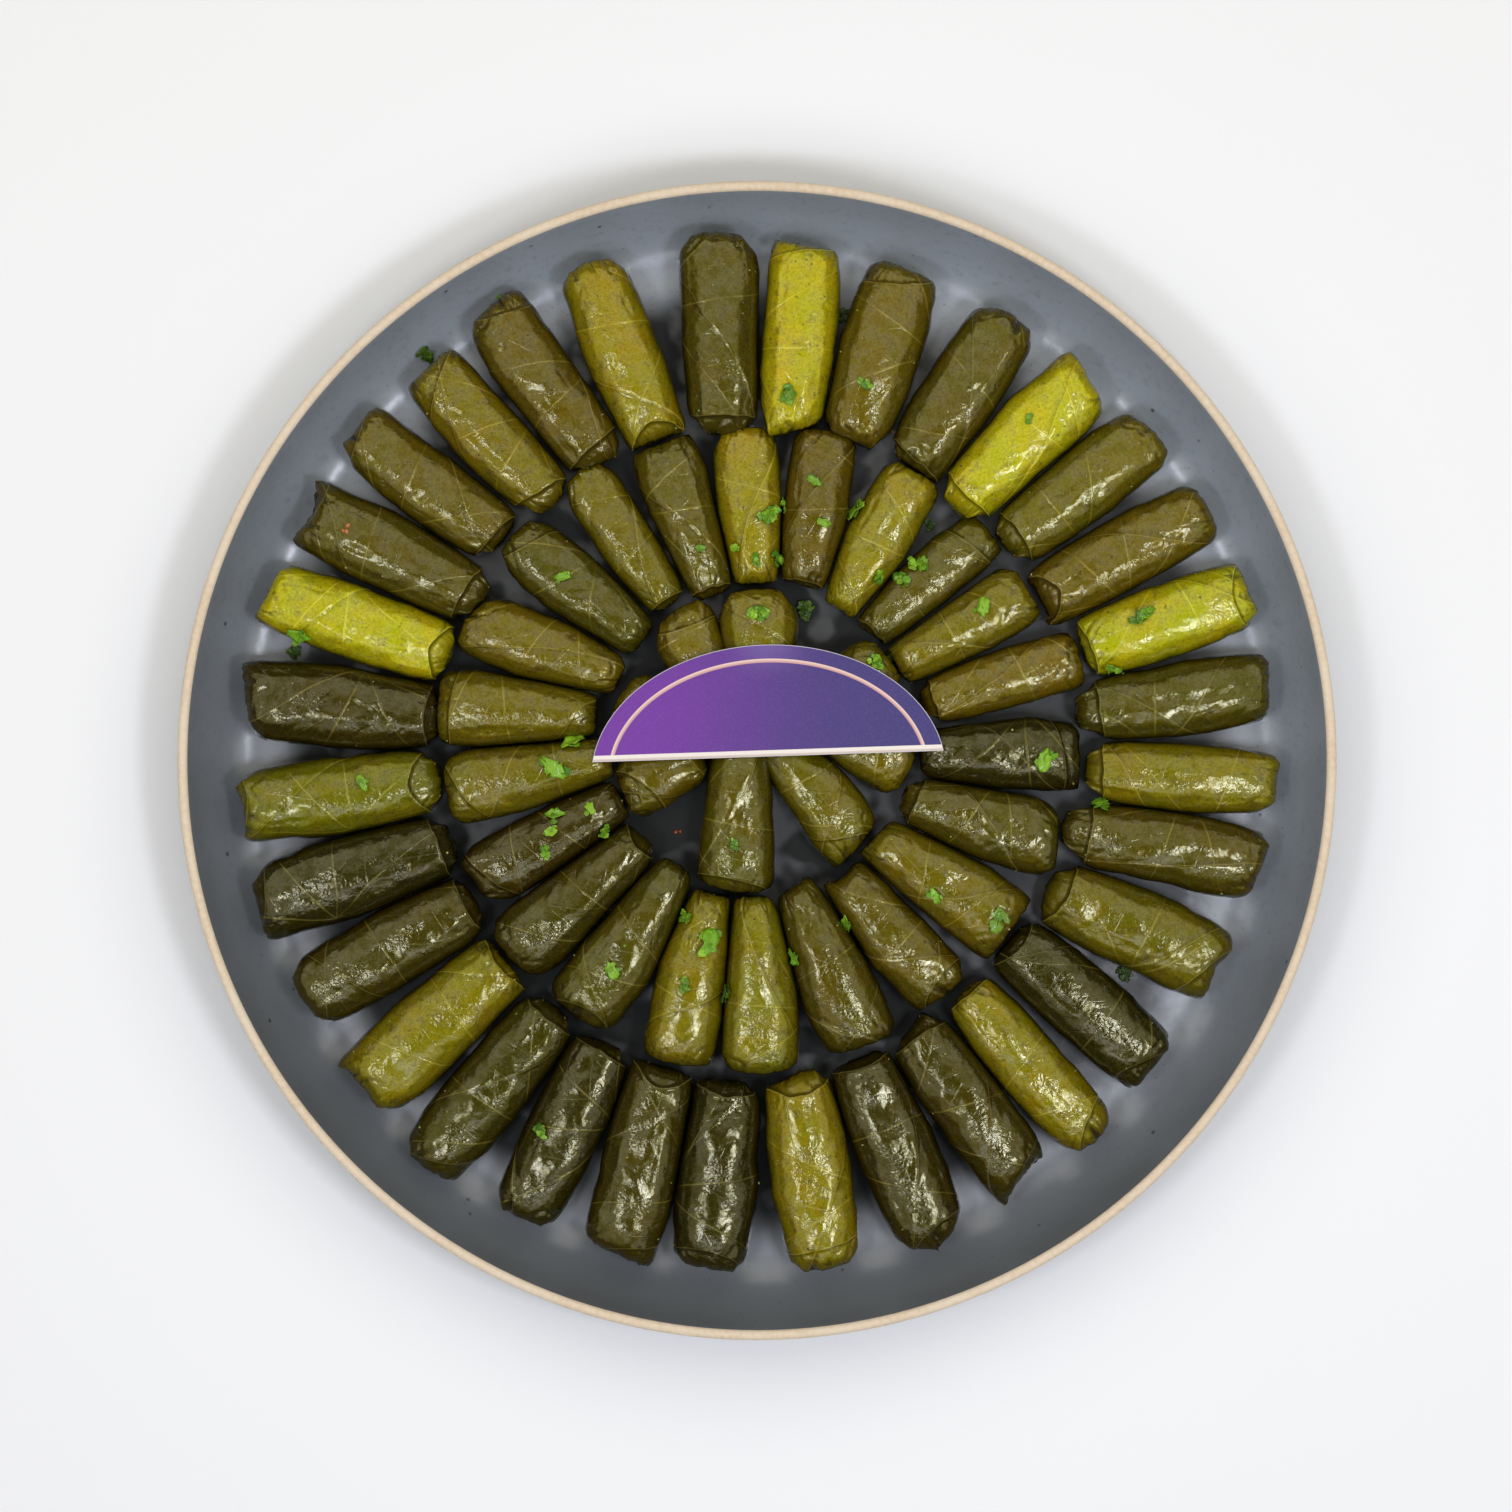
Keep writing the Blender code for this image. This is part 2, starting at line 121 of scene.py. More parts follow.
# The card's print, and the points along its round and its flat edge
LINE_HALF_AXES = (47.7, 34.2)
LINE_WIDTH = 1.15
STRIP_HEIGHT = 1.9
PRINT_BLUR = 0.08
CARD_ROUND_POINTS, CARD_FLAT_POINTS = 121, 40

# Each roll of a ring, clockwise, in tenths of a mm and of a degree. As in the model: clock angles of its outer and
# inner end, their radii, its width and its leaf's tone. Then how far it reaches past the model's outer end and past
# its inner end in the photograph, at five places across it from its anticlockwise side. Then, where the tucked bundle
# shows at the inner end, the outer leaf's edge past the model's end, at the anticlockwise side, the middle and the
# clockwise side. Last, a gap between leaf layers at the outer end: place across the roll, slope, length, half width.
OUTER_RING = """\
54 55 1570 995 225 bright|3 -8 -12 -14 -22|-55 24 5 -16 -35
168 165 1550 1000 250 brown|-15 3 -2 -8 -18|-40 -8 -4 3 -50||4 4.5 50 3
299 278 1545 995 230 dark|-35 -12 4 -8 -40|-15 -6 -4 -4 -6|-46 -26 -12|35 2 55 11
410 382 1550 970 235 bright|-10 -8 -25 -42 -60|-50 4 9 2 -45|-54 -46 -54
505 490 1560 990 225 olive|-36 -24 -6 -8 -36|-42 0 5 0 -38|-42 -56 -36
608 607 1565 980 215 brown|-26 -10 -8 -10 -26|0 -6 -4 -2 16|-3 -65 14
710 712 1575 1035 225 bright|-18 -12 -9 -2 -40|-15 -3 -1 -3 -20|-14 -28 -20
816 818 1575 980 225 dark|-20 -6 -18 -24 -38|-62 0 16 4 -64|-60 -62 -64|-52 3 35 14
924 915 1575 990 205 yellow|-20 -2 -8 -8 -40|-50 -2 1 -4 -56|-46 -52 -59
1020 1020 1560 960 230 dark|-20 2 -8 -20 -32|-60 8 28 8 -68|-60 -66 -70
1144 1138 1545 960 250 olive|-22 -6 -30 -20 -26|-48 2 10 -4 -22|-46 -60 -21
1277 1256 1515 945 235 dark|-30 -8 -6 -4 -14|-2 10 10 12 6|-6 -26 4
1382 1378 1535 940 205 yellow|-40 -10 4 -8 -40|-16 3 6 0 -12|-12 -11 -12|-15 0 70 13
1476 1498 1525 930 230 olive|-46 -54 -34 -14 6|-36 18 6 -14 -36|-44 -30 -38|-52 2 80 11
1597 1613 1555 940 245 brown|-59 -20 20 -16 -54|-24 -8 -9 -10 -18|-24 -36 -18|-21 3 65 20
1721 1727 1545 955 250 yellow|-40 -8 3 -2 -32|-26 8 10 -14 -20|-25 -62 -20|60 -2 40 10
1853 1852 1545 975 245 dark|-38 -4 -8 -16 -40|-22 3 6 6 0|-16 -40 -2
1958 1970 1580 965 245 olive|-20 -20 -34 -48 -70|-10 -4 -2 2 6|-12 -62 4
2072 2085 1550 960 225 dark|-26 -2 2 0 -38|-46 -6 -4 -12 -26|-50 -32 -24|60 1 55 13
2192 2192 1580 965 225 olive|-20 -8 4 2 -26|-34 2 7 2 -28|-32 -36 -26|65 -8 85 7
2302 2312 1570 970 255 yellow|-55 -20 -30 -28 -12|-8 0 2 3 2|-10 -22 -2|79 -5 60 14
2423 2436 1550 960 235 olive|-38 -12 -2 -6 -50|-18 8 12 8 -12|-16 -20 -12
2536 2549 1575 960 250 dark|-6 -2 -8 -14 -54|-26 10 17 6 -38|-25 -30 -38|-65 2 40 11
2647 2665 1575 965 235 bright|-12 -18 -24 -6 -46|-32 6 13 6 -32|-28 -85 -28
2769 2776 1580 980 250 brown|-70 -46 -28 -12 -6|-12 14 12 2 -10|-12 -28 -16|48 2 55 14
2892 2890 1590 985 220 bright|-18 -22 -32 -42 -60|-10 4 10 4 -10|-10 -56 -10
2990 3001 1565 985 235 dark|-16 -20 -42 -14 6|-30 16 34 32 -16|-28 -34 -15|-40 1 75 10
3096 3109 1580 1020 215 brown|-60 -6 -16 -12 -20|-28 2 5 4 -4|-28 -24 -6|-34 2 45 18
3200 3214 1550 1000 215 olive|-8 -6 -4 -4 -8|-60 10 21 10 -14|-64 -42 -14
3296 3323 1600 1020 225 brown|-48 -22 -12 -6 -14|-28 0 10 20 -5|-30 -42 -60|29 2 50 15
3412 3427 1590 1010 225 yellow|-36 -16 -2 -18 -60|2 -2 0 -2 3|2 -54 2|10 0.5 80 3
3555 3546 1590 1005 250 dark|-40 2 8 -6 -54|-30 14 20 14 -22|-44 -36 -26|64 -7 80 3"""
MIDDLE_RING = """\
3575 3598 985 530 195 yellow|-30 12 22 16 -14|-12 -4 -4 -2 -6
120 148 985 535 195 brown|8 30 34 30 6|-20 -16 -10 -6 -8|-20 -24 -10
289 289 980 515 195 yellow|-10 14 14 10 -6|-10 -4 -2 0 -2
450 412 950 510 165 dark|28 34 36 34 28|2 4 0 -10 -18|-2 -16 -20
576 564 955 510 200 olive|-20 10 12 10 6|-2 2 2 0 -6
724 710 1015 530 180 brown|-6 8 8 6 -6|-34 0 6 0 -32|-32 -34 -32
892 878 965 495 215 dark|-12 6 8 10 6|-10 0 4 0 -10
1054 1035 935 455 220 dark|-38 -12 6 20 -12|-26 0 4 0 -20|-50 -40 -30
1240 1227 925 440 235 olive|-6 -4 -6 -6 -10|3 10 18 24 26
1410 1435 890 425 205 brown|-22 16 18 8 2|-10 -4 -12 6 8||0 3 35 10
1590 1630 915 415 230 dark|-20 6 4 -4 -18|24 30 24 16 6
1790 1814 935 420 235 yellow|-20 0 10 0 -16|-8 8 12 10 4
1950 1988 935 430 215 yellow|-4 6 14 8 -4|2 6 8 10 6
2154 2160 935 405 230 dark|-22 6 14 6 -12|-10 10 13 10 -6||5 0 35 24
2318 2354 940 425 225 olive|-18 8 16 10 -24|-8 18 18 8 4|-8 -20 2
2470 2540 920 435 200 brown|-40 4 10 20 -24|2 10 12 12 6
2640 2710 935 440 215 olive|-14 6 6 2 -16|-10 0 4 0 -10
2794 2865 965 495 225 olive|-4 8 12 6 -2|-14 -10 -9 -8 -12
2959 3000 960 495 200 olive|-4 16 18 -10 -50|6 12 16 18 0||20 5 60 4
3129 3168 980 515 200 dark|-20 18 24 12 -30|8 16 16 12 2
3287 3307 995 540 170 olive|-26 20 34 26 -10|-16 2 4 0 -10|-16 -18 -12
3430 3448 990 520 200 dark|2 6 8 10 10|-6 8 8 6 -6|-12 -18 -10"""
# The centre's rolls: name, the model's node and its ends in the plan, then as above
CENTRE_ROLLS = """\
top centre_top -3 510 5 180 215 olive|-50 -4 8 4 -36|-20 0 0 0 -20
top_left centre_top -236 443 -115 175 195 olive|-50 -4 16 16 -12|-20 0 0 0 -20
left centre_left -405 200 -170 45 175 olive|-24 0 5 0 -24|-20 0 0 0 -20
bottom_left centre_left -400 -98 -160 5 190 brown|-24 0 5 0 -24|-20 0 0 0 -20
bottom centre_bottom -68 -398 -45 100 215 dark|-18 -2 -2 -14 -30|-20 0 0 0 -20
bottom_right centre_bottom 306 -270 45 65 195 olive|-34 -24 -4 2 2|-20 0 0 0 -20||-40 4 50 4
right centre_right 458 -22 200 95 185 olive|-24 0 5 0 -24|-20 0 0 0 -20
top_right centre_right 395 305 190 150 185 olive|-24 0 5 0 -24|-20 0 0 0 -20"""
END_PLACES = (-1.0, -0.72, 0.0, 0.72, 1.0)

# Long outer edges of leaves that stand out: a point on each in mm along and across the roll, and its slant in degrees
LAPS = {
    "outer_04": (0.0, -8.0, 31.0), "outer_07": (0.0, 5.4, -46.0), "outer_12": (44.0, -12.0, 59.0),
    "outer_16": (1.4, 6.1, -36.0),
}

# Leaf colour of each tone, in linear light, and the rolls that are darker and paler than the rest of their tone:
# partly deeper and paler leaf, partly painted shade, mostly on the plate's lower side, and painted light on its upper
# side
TONES = {
    "bright": (0.428, 0.392, 0.003), "yellow": (0.191, 0.159, 0.002), "olive": (0.133, 0.106, 0.002),
    "brown": (0.107, 0.078, 0.002), "dark": (0.072, 0.059, 0.002),
}
DEEP_AND_SHADED_SHARE, PALE_AND_LIT_SHARE = 0.33, 1.25
DEEP_AND_SHADED = """
outer_12 outer_14 outer_15 outer_17 outer_18 outer_19 outer_20 outer_22 outer_23 outer_24 outer_25 middle_07 middle_15
middle_16
""".split()
PALE_AND_LIT = """
outer_02 outer_03 outer_06 outer_29 outer_31 middle_01 middle_03 middle_04 middle_05 middle_06 middle_22 top bottom
""".split()

# Parsley on the rolls: place in the plan and length in tenths of a mm, and its kind
PARSLEY = """
-785 1385 60 curly; 99 1112 75 curly; 327 1133 45 curly; 819 1022 40 curly; 171 839 50 leaf; 305 750 100 leaf;
27 737 70 curly; 70 769 45 curly; 201 716 50 leaf; -63 641 40 leaf; 54 608 50 curly; -4 604 40 curly; 485 590 70 curly;
435 542 60 curly; 365 557 50 curly; 6 437 65 curly; 684 461 70 leaf; 1155 440 75 curly; 354 295 60 curly;
-585 551 50 leaf; -171 641 35 leaf; 1075 285 50 curly; 1035 -140 60 curly; 864 2 80 leaf; -1375 380 80 leaf;
-1185 -68 55 leaf; -555 48 80 leaf; -612 -23 90 leaf; -605 -165 60 leaf; -500 -145 50 leaf; -621 -215 50 leaf;
-636 -278 50 curly; -465 -205 50 curly; -435 -629 65 leaf; -216 -674 50 curly; -147 -545 100 leaf; -210 -474 50 curly;
116 -592 50 curly; 275 -485 60 leaf; -645 -1115 50 curly; -66 -254 40 curly; 534 -404 50 leaf; 720 -484 90 curly
"""
# Darker sprigs in the gaps between the rolls
DARK_SPRIGS = """
266 1355 60 sprig; 145 456 70 sprig; 1115 -646 60 sprig; -1401 330 50 sprig; 405 310 50 sprig; 525 714 45 sprig;
-1010 1235 60 sprig; -85 -700 60 sprig
"""
# Crumbs: place in the plan and size in mm, and colour
CRUMBS = (
    (-123.6, 69.8, 3.0, (0.48, 0.16, 0.035)), (-24.0, -20.9, 2.4, (0.20, 0.045, 0.02)),
    (65.1, -1.4, 1.2, (0.45, 0.05, 0.03)), (24.0, 49.4, 1.1, (0.02, 0.02, 0.02)),
    (37.6, -29.5, 1.2, (0.02, 0.02, 0.02)), (-17.5, 53.0, 1.2, (0.62, 0.52, 0.25)),
    (41.5, 100.5, 2.2, (0.28, 0.16, 0.05)), (-53.0, 86.0, 1.3, (0.5, 0.42, 0.2)),
)
# Flecks of herb: how many are tried, within which radius in mm, the lowest ground for one, their colours, and the
# card's place in the plan, which has none: its middle and half length across, and its lowest and highest y in mm
FLECKS = 420
FLECK_RADIUS = 156
FLECK_LOWEST = 20.0 * MM
FLECK_COLOURS = ((0.20, 0.34, 0.03), (0.035, 0.03, 0.012), (0.40, 0.33, 0.10), (0.30, 0.22, 0.06))
FLECK_FREE = (3.3, 55, -2, 38)
# What is scattered is pressed flat between these heights, so that the object keeps its height
SCATTER_PRESSED, SCATTER_TOP = 28.3 * MM, 29.2 * MM

# Camera, the floor that the platter stands on, and the light that fills the room
CAMERA_PLACE = (-0.0003, 0.00135, 1.829)
CAMERA_LENS, CAMERA_SENSOR = 142.86, 36.0
GROUND_HALF, GROUND_DROP = 3.0, 0.4 * MM
FILL_STRENGTH = 0.07

# Soft lights: place, the point that each faces, size in metres, radiance and colour
WARM, COOL = (1.04, 1.01, 0.92), (0.92, 0.96, 1.10)
LIGHTS = {
    "overhead": ((0.0, 0.80, 1.05), (0.0, 0.80, 0), (2.6, 1.5), 1.07, WARM),
    "overhead_left": ((-1.00, -0.52, 1.05), (-1.00, -0.52, 0), (1.30, 1.10), 0.88, WARM),
    "overhead_right": ((1.00, -0.52, 1.05), (1.00, -0.52, 0), (1.30, 1.10), 0.88, WARM),
    "south": ((0.0, -0.56, 1.03), (0, 0, 0), (0.50, 0.30), 2.5, COOL),
    "hot_left": ((-0.34, -0.22, 1.04), (0, 0, 0), (0.20, 0.17), 17.0, COOL),
    "hot_right": ((0.34, -0.20, 1.04), (0, 0, 0), (0.22, 0.18), 23.0, COOL),
}

Roll = namedtuple("Roll", "name node outer inner width ends tone number outer_line inner_line sleeve gap",
                  defaults=[None, None])


# Numbers drawn from places

def lattice(cells, seed):
    """A fixed number from -1 to 1 for each whole-numbered cell."""
    mixed = cells[..., 0] * 374761393 + cells[..., 1] * 668265263 + cells[..., 2] * 1274126177 + seed * 69069
    mixed = mixed & 0xFFFFFFFF
    for shift, factor in ((13, 1103515245), (15, 12345701)):
        mixed = ((mixed ^ (mixed >> shift)) * factor) & 0xFFFFFFFF
    return (mixed ^ (mixed >> 16)) / 0x7FFFFFFF - 1


def soft_noise(points, size, seed):
    """Smooth noise from -1 to 1 at points, with humps of about a size."""
    scaled = points / size
    base = np.floor(scaled).astype(np.int64)
    part = scaled - base
    part = part * part * (3 - 2 * part)
    total = np.zeros(points.shape[:-1])
    for corner in itertools.product((0, 1), repeat=3):
        weight = np.prod(np.where(np.array(corner) == 1, part, 1 - part), axis=-1)
        total += weight * lattice(base + np.array(corner), seed)
    return total


def noise_at(x, y, z, size, seed):
    """Smooth noise at three coordinates, each an array or a number."""
    return soft_noise(np.stack(np.broadcast_arrays(x, y, z), axis=-1), size, seed)


def smoothstep(value, low, high):
    part = np.clip((value - low) / (high - low), 0, 1)
    return part * part * (3 - 2 * part)


# Rolls

def read(row):
    """The words of a row, with the tenths among them as numbers."""
    return [word if word.strip("-.0123456789") else float(word) / 10 for word in row.split()]


def in_plan(clock_degrees, radius_mm):
    angle = math.radians(clock_degrees)
    return np.array((math.sin(angle), math.cos(angle))) * radius_mm * MM


def all_rolls():
    """The three groups of rolls: outer ring, middle ring, centre."""
    groups, numbers = [], itertools.count()
    for prefix, rows, ends in (("outer", OUTER_RING, OUTER_RING_ENDS), ("middle", MIDDLE_RING, MIDDLE_RING_ENDS),
                               (None, CENTRE_ROLLS, CENTRE_ENDS)):
        rolls = []
        for place, row in enumerate(rows.split("\n"), 1):
            form, *lines = (read(part) for part in row.split("|"))
            *form, width_mm, tone = form
            if prefix:
                name = node = f"{prefix}_{place:02d}"
                outer, inner = in_plan(form[0], form[2]), in_plan(form[1], form[3])
            else:
                name, node = form[:2]
                outer, inner = np.array(form[2:4]) * MM, np.array(form[4:]) * MM
            rolls.append(Roll(name, node, outer, inner, width_mm * MM, ends, tone, next(numbers), *lines))
        groups.append(rolls)
    return groups


def across(roll):
    """The unit vector of the plan at right angles to a roll, on the clockwise side of a ring's roll."""
    along = (roll.outer - roll.inner) / np.linalg.norm(roll.outer - roll.inner)
    return np.array((along[1], -along[0]))


def side_room(roll, neighbour, points):
    """How far the roll may reach from points of its axis, up to the middle between it and its neighbour."""
    if neighbour is None:
        return np.full(points.shape[:-1], np.inf)
    distance = np.abs((neighbour.outer - points) @ across(neighbour))
    return distance / (1 + abs(across(roll) @ across(neighbour))) - GAP


def plate_top(radius):
    """Height of the plate's upper face: a flat floor, then a cove that steepens to the rim."""
    cove_width = PLATE_RADIUS - RIM_WIDTH - FLOOR_RADIUS
    along = np.maximum(0.0, radius - FLOOR_RADIUS) / cove_width
    return FLOOR_TOP + (RIM_HEIGHT - RIM_FALL - FLOOR_TOP) * along**COVE_POWER


def lowest_height(plan):
    """The lowest height that a roll may have at places of the plan, clear of the floor and the cove."""
    radius = np.linalg.norm(plan, axis=-1)
    at_cove = radius > FLOOR_RADIUS - COVE_CLEARANCE
    return np.where(at_cove, plate_top(radius + COVE_CLEARANCE), FLOOR_TOP) + GAP


def end_share(ends, share):
    return 1 + (ends[1] - ends[0]) / 2 * share + ((ends[0] + ends[1]) / 2 - 1) * share**2


def rounded(value):
    return np.sign(value) * np.abs(value) ** (2 / SECTION_POWER)


def side_wave(distance, seed):
    """Uneven width along one side of a roll, as a share of its width."""
    along = distance / MM
    coarse, fine = noise_at(along, 7.0, 0, 13.0, SEED + 400 + seed), noise_at(along, 7.0, 0, 5.0, SEED + 600 + seed)
    return 1 + 0.045 * coarse + 0.03 * fine


def base_form(roll, before, after, distance, from_end, angle):
    """The smooth roll: a point for each distance along it, distance from its nearer end and angle from its crest."""
    length = np.linalg.norm(roll.outer - roll.inner)
    bend = random.Random(SEED + roll.number).uniform(-SIDE_BEND, SIDE_BEND)
    thickness = min(THICKEST, roll.width * FLATTENING)
    share = np.clip(2 * distance / length - 1, -1, 1)
    width_share = 1 - 0.08 * np.exp(-from_end / (1.2 * MM))
    height_share = 1 - 0.32 * np.exp(-from_end / (1.6 * MM))
    axis = roll.outer + (roll.inner - roll.outer) * (distance / length)[..., None]
    shift = bend * (1 - share**2)
    half = roll.width / 2 * end_share(roll.ends, share) * width_share
    right = np.minimum(half * side_wave(distance, roll.number * 2), side_room(roll, after, axis) - shift)
    left = np.minimum(half * side_wave(distance, roll.number * 2 + 1), side_room(roll, before, axis) + shift)
    wide = rounded(np.sin(angle))
    plan = axis + across(roll) * (shift + np.where(wide > 0, right, left) * wide)[..., None]
    taper = 1 - END_FALL * share**2
    rise = thickness / 2 * (1 + height_share * taper * rounded(np.cos(angle)))
    height = np.maximum(FLOOR_TOP + GAP + rise, lowest_height(plan))
    return np.concatenate((plan, height[..., None]), axis=-1)


def grid_normals(points):
    """Unit normals of a grid of points that is closed in its second direction, pointing outwards."""
    along = np.gradient(points, axis=0)
    around = np.roll(points, -1, axis=1) - np.roll(points, 1, axis=1)
    normal = np.cross(along, around)
    normal /= np.maximum(np.linalg.norm(normal, axis=-1, keepdims=True), 1e-12)
    outwards = np.sum(normal * (points - points.mean(axis=1, keepdims=True)))
    return -normal if outwards < 0 else normal


def roll_edges(roll, length):
    """The roll's free leaf edges, in mm on the unrolled leaf: a fold at its outer end, and the lap along it."""
    draw = random.Random(SEED * 31 + roll.number)
    fold = dict(shown=draw.random() < 0.6, margin=draw.uniform(2.5, 6.5), slope=draw.uniform(-0.6, 0.6),
                curve=draw.uniform(-0.03, 0.02), drop=draw.uniform(0.25, 0.6))
    lap = dict(shown=draw.random() < 0.8, a=draw.uniform(0.1, 0.9) * length, b=draw.uniform(-9, 9),
               turn=math.radians(draw.choice((-1, 1)) * draw.uniform(14, 62)), lift=draw.uniform(0.22, 0.4))
    if roll.name in LAPS:
        a, b, slant = LAPS[roll.name]
        lap.update(shown=True, a=a, b=b, turn=math.radians(slant))
    return fold, lap


def relief(roll, a, b, to_outer, to_inner, wide, points, length):
    """How far each point moves outwards, in mm, with the signed distances to the leaf's edges there."""
    fold, lap = roll_edges(roll, length)
    seed = SEED + roll.number * 7
    out = sum(depth * soft_noise(points / MM, size, seed + number) for number, (depth, size) in enumerate(HUMPS))
    first, second, third, fourth = (np.full(a.shape, distance) for distance in (-FAR, -FAR, FAR, -FAR))

    # Shallow creases, along the roll and aslant
    for number, (long, short, turn, depth) in enumerate(CREASES):
        forward, sideways = a * math.cos(turn) + b * math.sin(turn), b * math.cos(turn) - a * math.sin(turn)
        creases = noise_at(forward / long, sideways / short, FAR, 1.0, seed + 3 + 20 * number)
        out -= depth * smoothstep(creases, 0.15, 0.75)

    # The outer leaf's edge at the inner end, and the narrower tucked bundle below it
    if roll.sleeve:
        at_left, at_middle, at_right = roll.sleeve
        edge = length + at_middle + (np.where(wide < 0, at_left, at_right) - at_middle) * np.abs(wide) ** 1.7
        edge += 0.35 * noise_at(b, FAR, FAR, 3.6, seed + 4)
        first = a - edge
        bundle = 0.35 * noise_at(b / 2.2, a / 7.0, FAR, 1.0, seed + 5)
        depth = 0.8 + 0.9 * smoothstep(np.abs(wide), 0.6, 1.0) + bundle + 0.10 * np.clip(first, 0, 8)
        out -= smoothstep(first, 0.0, 0.7) * depth
        out += 0.22 * np.exp(-((first + 0.5) / 0.8) ** 2)
    # The end itself curves down and in
    out -= 1.6 * np.exp(-np.maximum(to_inner, 0) / 1.3) * (1 - 0.5 * smoothstep(np.abs(wide), 0.5, 1.0))
    # A fold over the outer end
    if fold["shown"]:
        edge = fold["margin"] + fold["slope"] * b + fold["curve"] * b**2
        edge += 0.5 * noise_at(b, FAR, FAR, 4.0, seed + 6)
        second = (edge - a) / math.hypot(1, fold["slope"])
        out -= smoothstep(second, 0.0, 0.6) * fold["drop"]
    # A gap between the leaf's layers at the outer end, as a share of its half width
    if roll.gap:
        place, slope, reach, half = roll.gap
        width = np.maximum(half * (1 - np.maximum(a, 0) / reach), 0.01)
        third = np.where(a > reach, FAR, np.abs(b - place - slope * a) / width)
        out -= (0.5 + 1.1 * min(half, 1.2)) * np.exp(-(third / 1.1) ** 2)
    # The leaf's long outer edge
    if lap["shown"]:
        on_a, on_b = a - lap["a"], b - lap["b"]
        fourth = -on_a * math.sin(lap["turn"]) + on_b * math.cos(lap["turn"])
        fourth += 0.014 * on_a * on_b * 0.5
        fourth += 0.5 * noise_at(a, FAR, FAR, 6.0, seed + 7)
        out += lap["lift"] * smoothstep(fourth, -0.15, 0.35) * np.exp(-np.maximum(fourth, 0) / 6.0)

    # Crumpling towards both ends, deep in narrow creases
    # hollow marks the creases, where the leaf's material paints shade
    hollow = np.zeros(a.shape)
    for nearness, shift in ((to_outer, 0), (to_inner, 5)):
        near = np.maximum(nearness, 0)
        folds = noise_at(b / 1.9, nearness / 6.0, FAR, 1.0, seed + 8 + shift)
        out -= np.exp(-near / 3.2) * (0.05 + 0.65 * np.abs(folds))
        creases = noise_at(b / 2.6 + nearness / 7.0, nearness / 9.0, FAR, 1.0, seed + 31 + shift)
        crease = 1 - smoothstep(np.abs(creases), 0.0, 0.16)
        reach = np.exp(-(near / 6.5) ** 2)
        out -= 0.55 * crease * reach
        hollow = np.maximum(hollow, crease * reach)
    return out, np.stack((first, second, third), axis=-1), fourth, hollow


def end_line(values, wide, b, seed):
    """How far an end reaches past the model's at each place across the roll, in mm, with the leaf's ragged edge."""
    return np.interp(wide, END_PLACES, values) + 0.22 * noise_at(b, 0, 0, 2.0, seed)


def leaf_place(roll, a, b, length):
    """Where each point lies on the flat leaf, in mm from the stalk's foot, with the midrib along the first axis."""
    draw = random.Random(SEED * 91 + roll.number)
    middle = length / 2 + draw.uniform(-9, 9)
    foot = draw.choice((-1, 1)) * draw.uniform(12, 30)
    turn = math.radians(draw.uniform(-22, 22))
    along = (b - foot) * (-1 if foot > 0 else 1)
    off = a - middle
    warp = 0.012 * off * along
    return along * math.cos(turn) - off * math.sin(turn) + warp, along * math.sin(turn) + off * math.cos(turn)


def leaf_tint(roll):
    """The roll's leaf colour, a little off its tone's, with painted shade on the darker listed rolls and painted light
    on the paler.
    """
    draw = random.Random(SEED * 17 + roll.number)
    share = DEEP_AND_SHADED_SHARE if roll.name in DEEP_AND_SHADED else PALE_AND_LIT_SHARE if roll.name in PALE_AND_LIT else 1.0
    colour = np.array(TONES[roll.tone]) * share * draw.uniform(0.92, 1.08)
    colour[0] *= draw.uniform(0.95, 1.06)
    return colour


